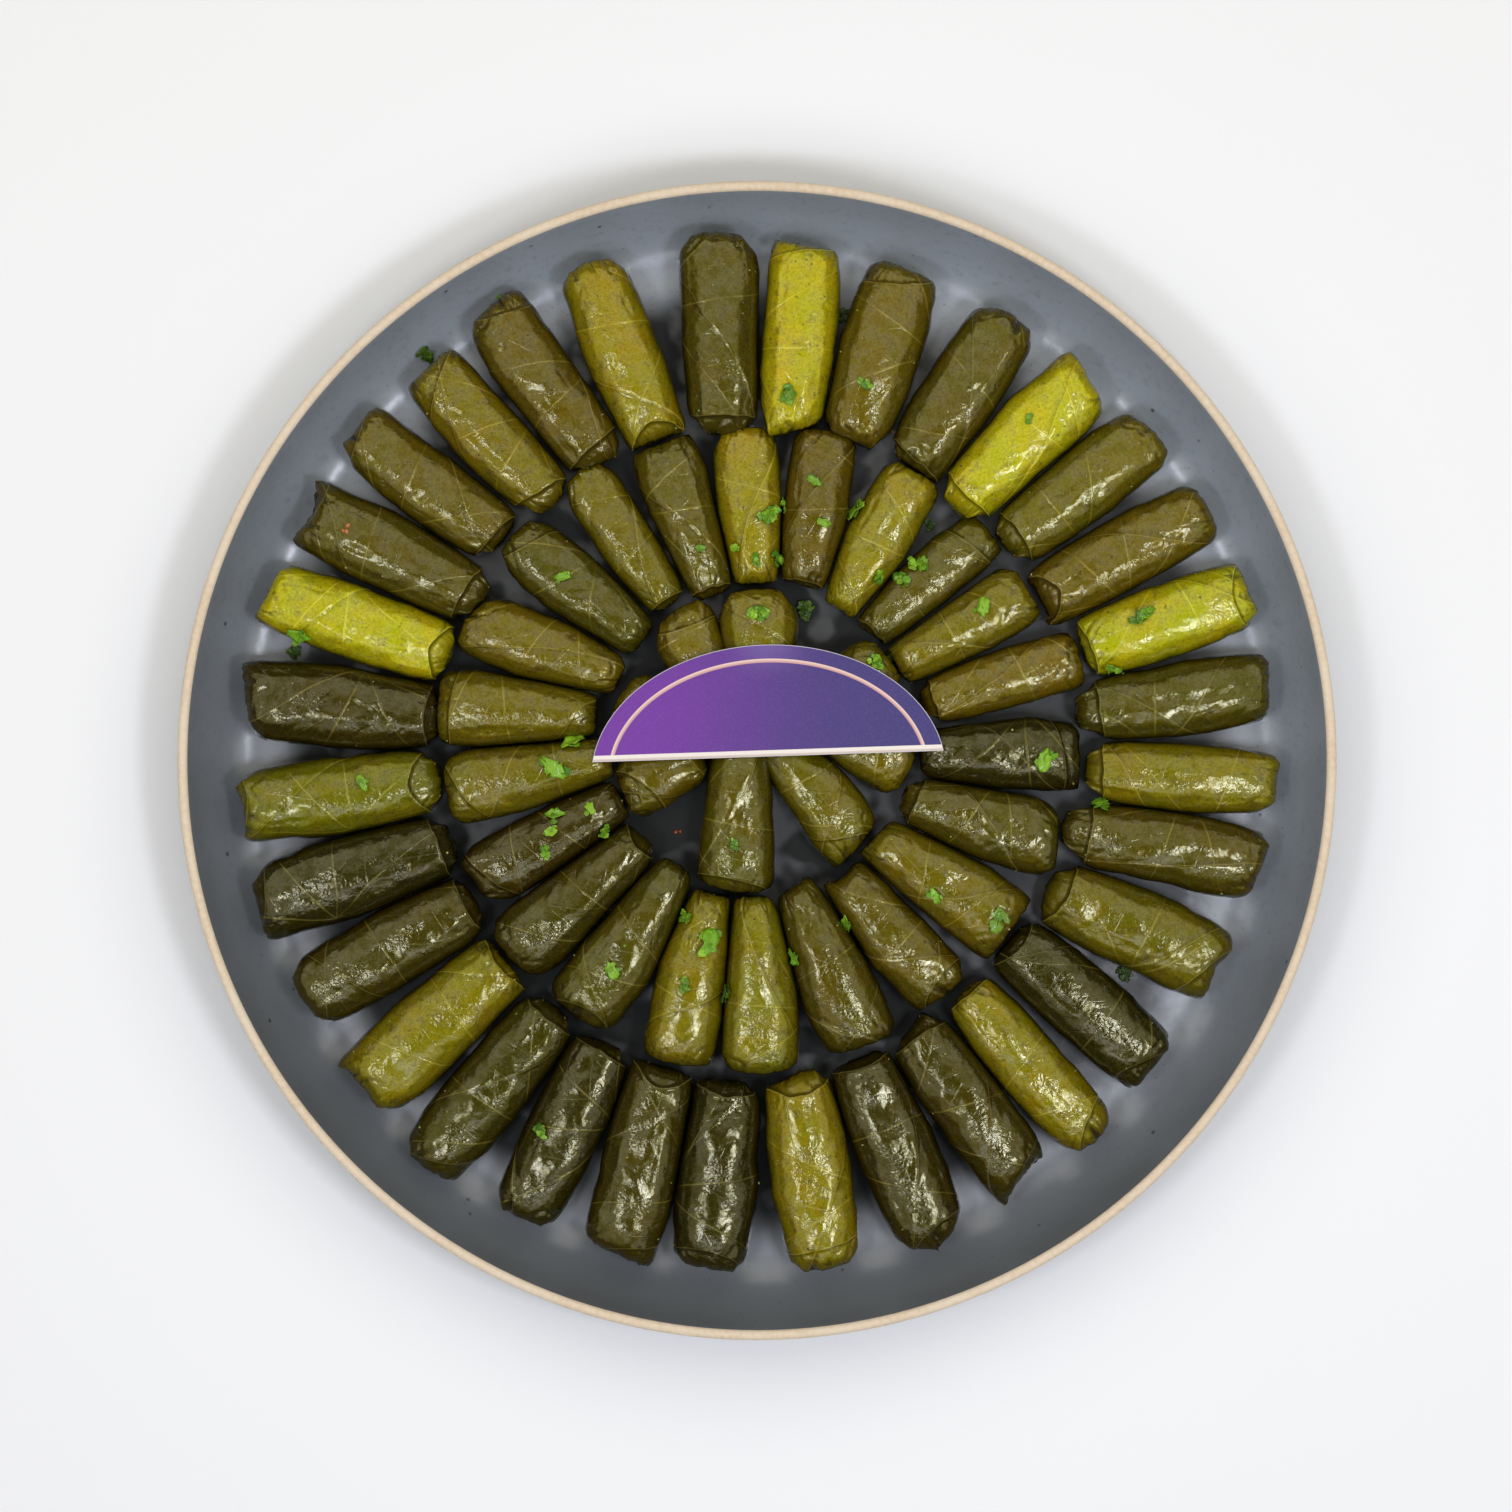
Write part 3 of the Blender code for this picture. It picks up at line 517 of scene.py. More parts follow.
def roll_piece(roll, before, after, surface):
    length_m = np.linalg.norm(roll.outer - roll.inner)
    length = length_m / MM
    turn = np.linspace(-1, 1, SIDES, endpoint=False)
    angle = math.pi * (0.60 * turn + 0.40 * turn**3)
    wide = rounded(np.sin(angle))

    # Place on the unrolled leaf: b round the roll from its crest, a along it from the model's outer end
    halfway = np.full(SIDES, length_m / 2)
    middle = base_form(roll, before, after, halfway, halfway, angle)
    steps = np.linalg.norm(np.diff(middle, axis=0), axis=1)
    b = np.concatenate(((0,), np.cumsum(steps))) / MM
    b -= np.interp(0.0, angle, b)
    seed = SEED + roll.number * 3
    start = -end_line(roll.outer_line, wide, b, seed)
    finish = length + end_line(roll.inner_line, wide, b, seed + 1)
    step = np.linspace(0, 1, RINGS)[:, None]
    a = start + (finish - start) * (0.55 * step + 0.45 * (0.5 - 0.5 * np.cos(math.pi * step)))
    b, wide = (np.broadcast_to(row, a.shape) for row in (b, wide))
    to_outer, to_inner = a - start, finish - a

    points = base_form(roll, before, after, a * MM, np.minimum(to_outer, to_inner) * MM, angle)
    forward = np.append((roll.inner - roll.outer) / length_m, 0.0)
    normals = grid_normals(points)
    normals -= (normals @ forward)[..., None] * forward
    normals /= np.maximum(np.linalg.norm(normals, axis=-1, keepdims=True), 1e-9)
    out, edges, lap, hollow = relief(roll, a, b, to_outer, to_inner, wide, points, length)
    sideways = np.abs(normals[..., 0] * across(roll)[0] + normals[..., 1] * across(roll)[1])
    beside = smoothstep(sideways, 0.55, 0.95)
    out = np.minimum(out * (1 - 0.45 * beside) + 0.15 * beside, HIGHEST_RELIEF - 0.35 * beside)
    points = points + normals * out[..., None] * MM
    points[..., 2] = np.maximum(points[..., 2], lowest_height(points[..., :2]))

    # Each end closes in rings with a spiral of tucked leaf
    caps, tips = [], []
    for ring, inwards in ((points[0], forward), (points[-1], -forward)):
        centre = ring.mean(axis=0) + (0, 0, CAP_LIFT)
        made = []
        for part in CAP_RINGS:
            spiral = 0.5 * np.cos(angle + 2 * math.pi * SPIRAL_TURNS * part) * MM
            depth = CAP_DEPTH * (1 - part) ** 0.6 + spiral * (1 - part) * part * 4
            made.append(centre + (ring - centre) * part + inwards * depth[:, None])
        caps.append(made)
        tips.append(centre + inwards * CAP_DEPTH)
    grid = np.stack(caps[0][::-1] + list(points) + caps[1])
    count = len(CAP_RINGS)

    def padded(values):
        """The values of the rings, with those of the first and last one for the caps."""
        return np.pad(values, ((count, count),) + ((0, 0),) * (values.ndim - 1), mode="edge")

    height = grid[..., 2]
    crest = height[count:-count].max(axis=1).mean()
    # How far each point lies below the crest, for the painted shade low down on the roll
    fall = (crest - height) / (crest - FLOOR_TOP) * 2
    # Painted shade on the caps of both ends and on the lower rolls' outer ends, which are also less glossy
    inside = 0.8 * smoothstep(-roll.outer[1], 0.01, 0.11) * np.exp(-(padded(to_outer) / 4.5) ** 2)
    inside[:count] = inside[-count:] = 1.0

    index, faces = bands(len(grid), SIDES)
    faces = faces.tolist()
    faces += [[grid.size // 3, one, two] for one, two in pairs(index[0])]
    faces += [[grid.size // 3 + 1, two, one] for one, two in pairs(index[-1])]
    piece = mesh_piece(f"leaf_roll_{roll.name}", np.concatenate((grid.reshape(-1, 3), tips)), faces, surface)
    for name, values in {
        "leaf": np.stack((*leaf_place(roll, padded(a), padded(b), length), inside), axis=-1),
        "edges": padded(edges),
        "lap": np.stack((padded(lap), padded(hollow), fall), axis=-1),
        "tint": np.tile(leaf_tint(roll), (*grid.shape[:2], 1)),
    }.items():
        add_values(piece, name, np.concatenate((values.reshape(-1, 3), values[0, :1], values[-1, :1])))
    return piece


# Meshes

def pairs(ring):
    """Each number of a closed ring with the one after it."""
    numbers = [int(number) for number in ring]
    return zip(numbers, numbers[1:] + numbers[:1])


def bands(rings, sides):
    """Numbers for the points of a stack of closed rings, and the faces between each ring and the next."""
    index = np.arange(rings * sides).reshape(rings, sides)
    after = np.roll(index, -1, axis=1)
    return index, np.stack((index[:-1], index[1:], after[1:], after[:-1]), axis=-1).reshape(-1, 4)


def linked(name, data):
    made = bpy.data.objects.new(name, data)
    bpy.context.scene.collection.objects.link(made)
    return made


def mesh_piece(name, points, faces, surface, smooth=True):
    mesh = bpy.data.meshes.new(name)
    mesh.from_pydata(points.tolist(), [], faces)
    mesh.update()
    if smooth:
        mesh.shade_smooth()
    mesh.materials.append(surface)
    return linked(name, mesh)


def add_values(piece, name, values):
    layer = piece.data.attributes.new(name, "FLOAT_VECTOR", "POINT")
    layer.data.foreach_set("vector", np.ascontiguousarray(values, dtype=np.float32).ravel())


# Shader nodes

def sign(operation, swapped=False):
    """The method of a wire for one sign between it and a number or another wire."""
    def apply(self, other):
        return self.graph.math(operation, *((other, self) if swapped else (self, other)))
    return apply


class Wire:
    """The output of a shader node. The signs of arithmetic between wires add maths nodes."""

    def __init__(self, graph, socket):
        self.graph, self.socket = graph, socket

    def __abs__(self):
        return self.graph.math("ABSOLUTE", self)

    __add__, __mul__, __truediv__ = sign("ADD"), sign("MULTIPLY"), sign("DIVIDE")
    __sub__, __rsub__ = sign("SUBTRACT"), sign("SUBTRACT", swapped=True)


class Graph:
    """Short calls that add nodes to a material and wire them."""

    def __init__(self, name):
        self.material = bpy.data.materials.new(name)
        self.material.use_nodes = True
        self.tree = self.material.node_tree

    def put(self, socket, value):
        if isinstance(value, Wire):
            self.tree.links.new(value.socket, socket)
        elif socket.type == "RGBA":
            socket.default_value = (*value, 1.0)
        else:
            socket.default_value = value

    def node(self, kind, inputs=(), output=0, **settings):
        """The output of a new node with these settings, and its inputs by number or by name."""
        made = self.tree.nodes.new("ShaderNode" + kind)
        for key, value in settings.items():
            setattr(made, key, value)
        for key, value in inputs.items() if isinstance(inputs, dict) else enumerate(inputs):
            self.put(made.inputs[key], value)
        return Wire(self, made.outputs[output])

    def math(self, operation, *values):
        return self.node("Math", values, operation=operation)

    def most(self, *values):
        return functools.reduce(lambda one, two: self.math("MAXIMUM", one, two), values)

    def attribute(self, name):
        return self.node("Attribute", output="Vector", attribute_name=name)

    def split(self, vector):
        return [Wire(self, socket) for socket in self.node("SeparateXYZ", (vector,)).socket.node.outputs]

    def join(self, x, y, z=0.0):
        return self.node("CombineXYZ", (x, y, z))

    def place(self):
        return self.node("TexCoord", output="Object")

    def noise(self, scale, detail=2.0, roughness=0.5, vector=None, output="Fac"):
        inputs = {"Vector": vector or self.place(), "Scale": scale, "Detail": detail, "Roughness": roughness}
        return self.node("TexNoise", inputs, output)

    def cells(self, scale, vector=None, output="Distance", **settings):
        return self.node("TexVoronoi", {"Vector": vector or self.place(), "Scale": scale}, output, **settings)

    def ramp(self, value, low, high, start=0.0, end=1.0):
        return self.node("MapRange", (value, low, high, start, end), interpolation_type="SMOOTHSTEP")

    def fade(self, value, low, high):
        return self.ramp(value, low, high, 1.0, 0.0)

    def mix(self, share, first, second, blend="MIX"):
        return self.node("Mix", {0: share, 6: first, 7: second}, 2, data_type="RGBA", blend_type=blend)

    def over(self, share, colour):
        """Lays a colour over the material's colour so far."""
        self.colour = self.mix(share, self.colour, colour)

    def bump(self, height, distance):
        return self.node("Bump", {"Height": height, "Distance": distance})

    def surface(self, **values):
        """The material, once the inputs of its shader have its colour and these values."""
        names = {"coat": "Coat Weight", "specular": "Specular IOR Level"}
        shader = self.tree.nodes["Principled BSDF"]
        for key, value in {"base_color": self.colour, **values}.items():
            self.put(shader.inputs[names.get(key, key.replace("_", " ").title())], value)
        return self.material


def vein_lines(g):
    """How much of a vein shows at each point of the leaf: the main fan, its side veins and the fine net."""
    along, off, _ = g.split(g.attribute("leaf"))
    wander_along, wander_off, _ = g.split(g.noise(0.05, 1.0, vector=g.join(along, off), output="Color"))
    along = along + (wander_along - 0.5) * VEIN_WANDER
    off = off + (wander_off - 0.5) * VEIN_WANDER
    reach = g.math("SQRT", along * along + off * off)
    bearing = g.math("ARCTAN2", off, along)
    nearest = g.math("MINIMUM", g.most(g.math("ROUND", bearing / VEIN_ANGLE), -2.0), 2.0)
    away = bearing - nearest * VEIN_ANGLE
    beside = abs(reach * g.math("SINE", away))
    ahead = reach * g.math("COSINE", away)
    main = 1.0 - g.ramp(beside / g.ramp(reach, 0.0, 60.0, 0.44, 0.24), 0.35, 1.0)
    main = main * g.ramp(g.noise(0.09, 1.0, vector=g.join(ahead, nearest)), 0.36, 0.58, 0.30, 1.0)
    phase = (ahead - beside * 1.05) / VEIN_SPACING
    phase = abs(g.math("FRACT", phase + 0.35) - 0.5)
    side = 1.0 - g.ramp(phase * (VEIN_SPACING * 0.69), 0.06, 0.24)
    net = 1.0 - g.ramp(g.cells(0.42, g.join(along, off), feature="DISTANCE_TO_EDGE"), 0.02, 0.09)
    return main, side, net


def leaf_material():
    g = Graph("vine leaf")
    g.colour = tint = g.attribute("tint")
    main, side, net = vein_lines(g)
    inside = g.split(g.attribute("leaf"))[2]
    lap, hollow, fall = g.split(g.attribute("lap"))
    first, second, third = g.split(g.attribute("edges"))

    def scaled(colour, factors):
        return g.mix(1.0, colour, factors, "MULTIPLY")

    # Broad patches of warmer, greener and deeper leaf, then fine grain and dark specks
    blotches = g.noise(240.0, 4.0, 0.65)
    fine = g.noise(1300.0, 4.0, 0.75)
    for cloud, span, factors in (
        (g.noise(75.0, 3.0, 0.55), (0.40, 0.64, 0.0, 0.7), (1.22, 0.94, 0.7)),
        (g.noise(52.0), (0.42, 0.66, 0.0, 0.55), (0.80, 0.90, 0.8)),
        (blotches, (0.50, 0.64, 0.0, 0.72), (0.52, 0.47, 0.4)),
        (g.noise(130.0), (0.45, 0.68, 0.0, 0.5), (0.82, 1.02, 0.6)),
        (fine, (0.42, 0.62, 0.0, 0.45), (1.45, 1.45, 1.5)),
        (fine, (0.38, 0.50, 0.36, 0.0), (0.55, 0.52, 0.45)),
    ):
        g.over(g.ramp(cloud, *span), scaled(tint, factors))
    g.over(g.ramp(g.noise(620.0, 1.0), 0.69, 0.75, 0.0, 0.55), (0.05, 0.032, 0.006))
    # Veins, paler than the leaf
    pale = g.mix(0.35, scaled(tint, (2.1, 2.15, 4.0)), (0.48, 0.40, 0.12))
    g.over(g.most(main * 0.54, side * 0.10, net * 0.06), pale)
    # Painted shade: the sides are painted darker than the flat crown, for the light that reaches them less
    facing = g.split(g.node("NewGeometry", output="Normal"))[2]
    crown = g.ramp(facing + (g.noise(210.0) - 0.5) * 0.16, 0.84, 0.95)
    g.over(1.0 - crown, scaled(g.colour, (0.70, 0.66, 0.40)))
    # Painted shade, deepening to near black low down towards the floor
    g.over(g.ramp(fall, 0.10, 0.85, 0.0, 0.82), (0.006, 0.004, 0.001))
    # Painted shade: thin shadows under the leaf's edges, in its creases and layers' gaps, and on the tucked bundle
    below = g.ramp(first, -0.05, 0.2) * g.fade(first, 0.2, 1.3)
    fold = g.ramp(second, -0.05, 0.15) * g.ramp(second, 0.15, 0.9, 0.6, 0.0)
    notch = g.fade(third, 0.6, 1.3)
    under = g.ramp(lap, -2.2, -0.1, 0.0, 0.26) * g.fade(lap, -0.1, 0.05)
    dark = g.most(below, fold, notch, under, hollow * 0.8)
    g.over(dark * 0.85, (0.012, 0.008, 0.002))
    g.over(g.ramp(first, 0.0, 0.6, 0.0, 0.5), scaled(tint, (0.55, 0.5, 0.4)))
    # Painted highlights: pale lines along the leaf's edges, above their shadows
    rims = [g.ramp(edge, -0.45, -0.15) * g.fade(edge, -0.12, 0.05) for edge in (first, second, lap * -1.0)]
    g.over(g.most(*rims) * 0.38, pale)
    # Painted shade on the caps of both ends and on the lower rolls' outer ends
    g.over(inside * 0.55, (0.02, 0.015, 0.003))
    # Relief: leaf grain that is coarser in patches, and raised veins
    patchy = g.ramp(g.noise(120.0), 0.42, 0.60, 0.18, 1.0)
    broad = g.noise(300.0, 1.0) * 0.45 + g.most(main, side * 0.5) * 0.22
    grain = g.ramp(g.cells(560.0, feature="DISTANCE_TO_EDGE"), 0.0, 0.30)
    crinkle = grain * 0.16 + g.noise(950.0, 2.0, 0.6) * 0.44
    normal = g.bump(broad + crinkle * patchy + fine * 0.15, 0.00022)
    # The oil lies unevenly
    oily = g.ramp(fine, 0.36, 0.60, 0.24, 0.46) * g.ramp(blotches, 0.38, 0.62, 0.7, 1.1)
    film = g.ramp(blotches, 0.38, 0.60, 0.28, 0.84) * g.ramp(inside, 0.0, 1.0, 1.0, 0.45)
    return g.surface(roughness=0.17, normal=normal, coat=film, coat_roughness=0.06,
                     coat_normal=normal, specular=oily, specular_tint=(1.0, 0.90, 0.17))


def glaze_material():
    g = Graph("stoneware glaze")
    x, y, _ = g.split(g.place())
    # Slate blue, with painted light making it paler towards the upper right
    cloud = g.noise(14.0, 3.0, 0.55)
    patch = g.ramp(cloud, 0.3, 0.7)
    upper = g.ramp(y * 0.90 + x * 0.30 + (cloud - 0.5) * 0.08, -0.12, 0.15)
    g.colour = g.mix(patch, (0.137, 0.147, 0.156), (0.156, 0.168, 0.177))
    g.over(upper, g.mix(patch, (0.290, 0.320, 0.356), (0.316, 0.349, 0.387)))
    # Fine mottle, and dark specks of two sizes
    mottle = g.noise(420.0, 3.0, 0.65)
    g.over(g.ramp(mottle, 0.50, 0.78, 0.0, 0.35), (0.11, 0.12, 0.135))
    for scale, low in ((150.0, 0.80), (420.0, 0.83)):
        picked = g.ramp(g.split(g.cells(scale, output="Color"))[0], low, low + 0.02)
        dot = (1.0 - g.ramp(g.cells(scale), 0.06, 0.13)) * picked
        g.over(dot * 0.75, (0.018, 0.018, 0.02))
    # Painted shade: the floor under the rolls is painted near black and made less shiny, a little less so towards the
    # right
    radius = g.math("SQRT", x * x + y * y) + (g.noise(40.0) - 0.5) * 0.020
    floor_shade = g.fade(radius, 0.134, 0.150)
    shade_lifted = g.ramp(x + y * 0.25, 0.03, 0.09)
    g.over(floor_shade * (0.95 - shade_lifted * 0.05), (0.012, 0.013, 0.010))
    shine = 1.0 - floor_shade * g.ramp(g.noise(60.0), 0.52, 0.62, 0.92, 0.45) * (1.0 - shade_lifted * 0.28)
    normal = g.bump(g.noise(160.0) + mottle * 0.12, 0.00006)
    return g.surface(roughness=g.ramp(mottle, 0.3, 0.7, 0.30, 0.40), normal=normal, coat=shine,
                     coat_roughness=0.28, coat_normal=normal, specular=shine * 0.7)


def clay_material():
    g = Graph("bare clay")
    grain = g.noise(700.0, 3.0, 0.6)
    g.colour = g.mix(g.ramp(grain, 0.3, 0.72), (0.78, 0.64, 0.47), (0.70, 0.55, 0.38))
    g.over(g.ramp(g.noise(45.0), 0.4, 0.7, 0.0, 0.5), (0.80, 0.69, 0.53))
    return g.surface(roughness=0.7, normal=g.bump(grain, 0.00005), specular=0.3)


# Plate

def plate_profile():
    """The turned half section, with which of its stretches are bare clay: the rim's top and the foot's face."""
    inner_rim = PLATE_RADIUS - RIM_WIDTH
    underside = FLOOR_TOP - FLOOR_THICKNESS
    points = [(radius * MM, FLOOR_TOP, 0) for radius in FLOOR_RINGS]
    for step in range(COVE_STEPS + 1):
        radius = FLOOR_RADIUS + (inner_rim - FLOOR_RADIUS) * step / COVE_STEPS
        points.append((radius, float(plate_top(radius)), int(step == COVE_STEPS)))
    points += [(PLATE_RADIUS + radius * MM, RIM_HEIGHT + height * MM, 1) for radius, height in RIM_SECTION]
    shoulder = FLOOR_RADIUS - SHOULDER_INSET
    for step in range(COVE_STEPS, -1, -1):
        along = step / COVE_STEPS
        height = underside + (RIM_HEIGHT - WALL_HEIGHT_LOSS - underside) * along**2
        points.append((shoulder + (PLATE_RADIUS - 0.1 * MM - shoulder) * along, height, 0))
    foot_inner = FOOT_RADIUS - FOOT_WIDTH
    points += [(FOOT_RADIUS + FOOT_SLANT, underside, 0), (FOOT_RADIUS + 0.3 * MM, 0.4 * MM, 1)]
    points += [(FOOT_RADIUS - 0.4 * MM, 0.0, 1), (foot_inner + 0.4 * MM, 0.0, 1)]
    points += [(foot_inner - 0.3 * MM, 0.4 * MM, 0), (foot_inner - FOOT_SLANT, underside, 0)]
    points += [(radius * MM, underside, 0) for radius in (80, 40, 0.5)]
    return points


def plate_piece(glaze, clay):
    profile = plate_profile()
    angles = np.linspace(0, 2 * math.pi, PLATE_TURNS, endpoint=False)
    circle = np.stack((np.cos(angles), np.sin(angles)), axis=-1)
    points = [np.column_stack((circle * radius, np.full(PLATE_TURNS, height))) for radius, height, _ in profile]
    index, faces = bands(len(profile), PLATE_TURNS)
    faces = [*faces.tolist(), index[0].tolist(), index[-1, ::-1].tolist()]
    plate = mesh_piece("stoneware_plate", np.concatenate(points), faces, glaze)
    plate.data.materials.append(clay)
    kinds = np.repeat([row[2] for row in profile[:-1]], PLATE_TURNS)
    plate.data.polygons.foreach_set("material_index", np.concatenate((kinds, (0, 0))).astype(np.int32))
    return plate


# Card

def card_material():
    """Violet print with a pale line inside its round edge, a cream strip along its flat edge and bare paper edges."""
    g = Graph("printed card")
    x, y, kind = g.split(g.attribute("card"))
    grain = g.noise(2600.0, 2.0, 0.6)
    cloud = g.noise(38.0)
    g.colour = g.mix(g.ramp(x, -46.0, 34.0) + (cloud - 0.5) * 0.25, (0.168, 0.026, 0.330), (0.044, 0.030, 0.168))
    # A painted sheen, paler towards the top middle
    painted_sheen = g.ramp(y, 22.0, 34.0) * g.fade(abs(x - 1.0), 0.0, 15.0)
    g.over(painted_sheen * 0.30, (0.30, 0.22, 0.50))
    g.over(g.ramp(grain, 0.45, 0.8, 0.0, 0.16), (0.30, 0.20, 0.50))
    # Signed distance to the line, an ellipse inside the card's own
    long, high = LINE_HALF_AXES
    up = y + CARD_CHORD_OFFSET / MM
    xx, yy = x * x, up * up
    steepness = g.math("SQRT", xx / long**4 + yy / high**4)
    distance = (xx / long**2 + yy / high**2 - 1.0) / (steepness * 2.0)
    line = g.fade(abs(distance), LINE_WIDTH / 2 - PRINT_BLUR, LINE_WIDTH / 2 + PRINT_BLUR)
    g.over(line, g.mix(g.ramp(distance, -0.5, 0.5), (0.60, 0.32, 0.30), (0.86, 0.62, 0.52)))
    # The cream strip, with painted shade at the card's edge and a painted highlight inwards
    strip = g.fade(y, STRIP_HEIGHT - PRINT_BLUR, STRIP_HEIGHT + PRINT_BLUR)
    g.over(strip, g.mix(g.ramp(y, 0.35, 1.1), (0.62, 0.50, 0.42), (0.88, 0.80, 0.72)))
    g.over(kind, (0.74, 0.70, 0.76))
    return g.surface(roughness=0.42, normal=g.bump(grain, 0.00002), specular=0.35)


def inset_steps(outline):
    """The step inwards from each point of a closed outline that runs counter-clockwise, one unit from its sides."""
    along = np.roll(outline, -1, axis=0) - outline
    along /= np.linalg.norm(along, axis=1, keepdims=True)
    inwards = np.stack((-along[:, 1], along[:, 0]), axis=-1)
    both = inwards + np.roll(inwards, 1, axis=0)
    return both * 2 / np.maximum(np.sum(both * both, axis=1, keepdims=True), 0.6)


def card_piece(surface):
    """The card in the model's place: flat faces, and a narrow rounded edge of bare paper."""
    bottom, top = (corner.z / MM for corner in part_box("card"))
    half_long, half_high = (value / MM for value in CARD_HALF_AXES)
    offset = CARD_CHORD_OFFSET / MM
    start = math.asin(offset / half_high)
    angles = np.linspace(start, math.pi - start, CARD_ROUND_POINTS)
    outline = np.stack((half_long * np.cos(angles), half_high * np.sin(angles) - offset), axis=-1)
    flat = np.linspace(outline[-1, 0], outline[0, 0], CARD_FLAT_POINTS + 2)[1:-1]
    outline = np.concatenate((outline, np.stack((flat, np.zeros(CARD_FLAT_POINTS)), axis=-1)))
    # Each ring: how far it lies inside the outline, its height, and whether it is bare paper
    rings = ((0.15, bottom, 1), (0.0, bottom + 0.12, 1), (0.0, top - 0.12, 1), (0.10, top - 0.02, 1),
             (0.16, top, 1), (0.20, top, 0))
    count = len(outline)
    local = np.concatenate([np.column_stack((outline + inset_steps(outline) * inset, np.full(count, height)))
                            for inset, height, _ in rings])
    index, faces = bands(len(rings), count)
    faces = [*faces[:, (0, 3, 2, 1)].tolist(), index[0, ::-1].tolist(), index[-1].tolist()]
    turn = np.array(((math.cos(CARD_TURN), -math.sin(CARD_TURN)), (math.sin(CARD_TURN), math.cos(CARD_TURN))))
    world = local.copy()
    world[:, :2] = local[:, :2] @ turn.T + np.array(CARD_EDGE_MIDDLE) / MM
    card = mesh_piece("printed_card", world * MM, faces, surface, smooth=False)
    add_values(card, "card", np.column_stack((local[:, :2], np.repeat([kind for _, _, kind in rings], count))))
    return card


# Parsley and crumbs

def blade(length, width, thickness, draw):
    """A thin curled leaflet along X with lobed sides: points and faces of a closed body."""
    steps, lanes = 8, 5
    along, lane = np.meshgrid(np.linspace(0, 1, steps), np.linspace(-1, 1, lanes), indexing="ij")
    lobes = 1 + 0.28 * np.sin(along * 2 * math.pi * draw.uniform(2.2, 3.2) + draw.uniform(0, 6))
    half = width / 2 * (np.sin(math.pi * (0.06 + 0.90 * along)) ** 0.75) * lobes
    x = (along - 0.5) * length + 0.10 * length * np.abs(lane) * np.sin(along * 9 + draw.uniform(0, 6))
    y = lane * half
    cup, arch = draw.uniform(0.15, 0.7), draw.uniform(0.0, 0.5)
    z = cup * np.abs(lane) ** 1.5 * half * 0.8 + arch * length * (0.25 - (along - 0.5) ** 2)
    z += 0.05 * length * np.sin(along * 11 + lane * 3 + draw.uniform(0, 6))
    top = np.stack((x, y, z), axis=-1).reshape(-1, 3)
    bottom = top - (0, 0, thickness)
    index = np.arange(steps * lanes).reshape(steps, lanes)
    quads = np.stack((index[:-1, :-1], index[1:, :-1], index[1:, 1:], index[:-1, 1:]), axis=-1).reshape(-1, 4)
    below = steps * lanes
    faces = []
    for quad in quads.tolist():
        faces += [quad, [number + below for number in quad[::-1]]]
    rim = [*index[0, :], *index[1:, -1], *index[-1, -2::-1], *index[-2:0:-1, 0]]
    faces += [[one, two, two + below, one + below] for one, two in pairs(rim)]
    return np.concatenate((top, bottom)), faces


def grain(size, draw):
    """A small uneven lump: points and faces."""
    bm = bmesh.new()
    bmesh.ops.create_icosphere(bm, subdivisions=2, radius=0.5)
    stretch = [size * draw.uniform(0.6, 1.0) for _ in range(3)]
    points = np.array([vert.co for vert in bm.verts])
    points *= (1 + 0.28 * soft_noise(points, 0.45, draw.randrange(999)))[:, None] * np.array(stretch)
    faces = [[vert.index for vert in face.verts] for face in bm.faces]
    bm.free()
    return points, faces


class Scatter:
    """Small bodies that are joined into one piece, each with a shade of its own."""

    def __init__(self):
        self.points, self.faces, self.shades, self.count = [], [], [], 0

    def add(self, points, faces, matrix, shade):
        placed = points @ np.array(matrix.to_3x3()).T + np.array(matrix.translation)
        room = SCATTER_TOP - SCATTER_PRESSED
        above = np.maximum(placed[:, 2] - SCATTER_PRESSED, 0)
        placed[:, 2] = np.minimum(placed[:, 2], SCATTER_PRESSED) + room * (1 - np.exp(-above / room))
        self.points.append(placed)
        self.faces += [[index + self.count for index in face] for face in faces]
        self.shades.append(np.tile(shade, (len(points), 1)))
        self.count += len(points)

    def piece(self, name, surface):
        made = mesh_piece(name, np.concatenate(self.points), self.faces, surface)
        add_values(made, "shade", np.concatenate(self.shades))
        return made


def ground_below(trees, x, y):
    """The highest point of the pieces at a place of the plan in mm, and the surface's normal there."""
    best = None
    for tree in trees:
        point, normal, _, _ = tree.ray_cast(Vector((x * MM, y * MM, 2 * RIM_HEIGHT)), Vector((0, 0, -1)))
        if point and (best is None or point.z > best[0].z):
            best = (point, normal)
    return best


def settle(point, normal, lift=0.0):
    lean = normal.to_track_quat("Z", "Y").to_matrix().to_4x4()
    return Matrix.Translation(point + normal * lift) @ lean


def turned(draw, tilt_degrees):
    spin = Matrix.Rotation(draw.uniform(0, 2 * math.pi), 4, "Z")
    return spin @ Matrix.Rotation(math.radians(-tilt_degrees), 4, "Y")


def moved(x, y, z):
    """A shift, given in mm."""
    return Matrix.Translation((x * MM, y * MM, z * MM))


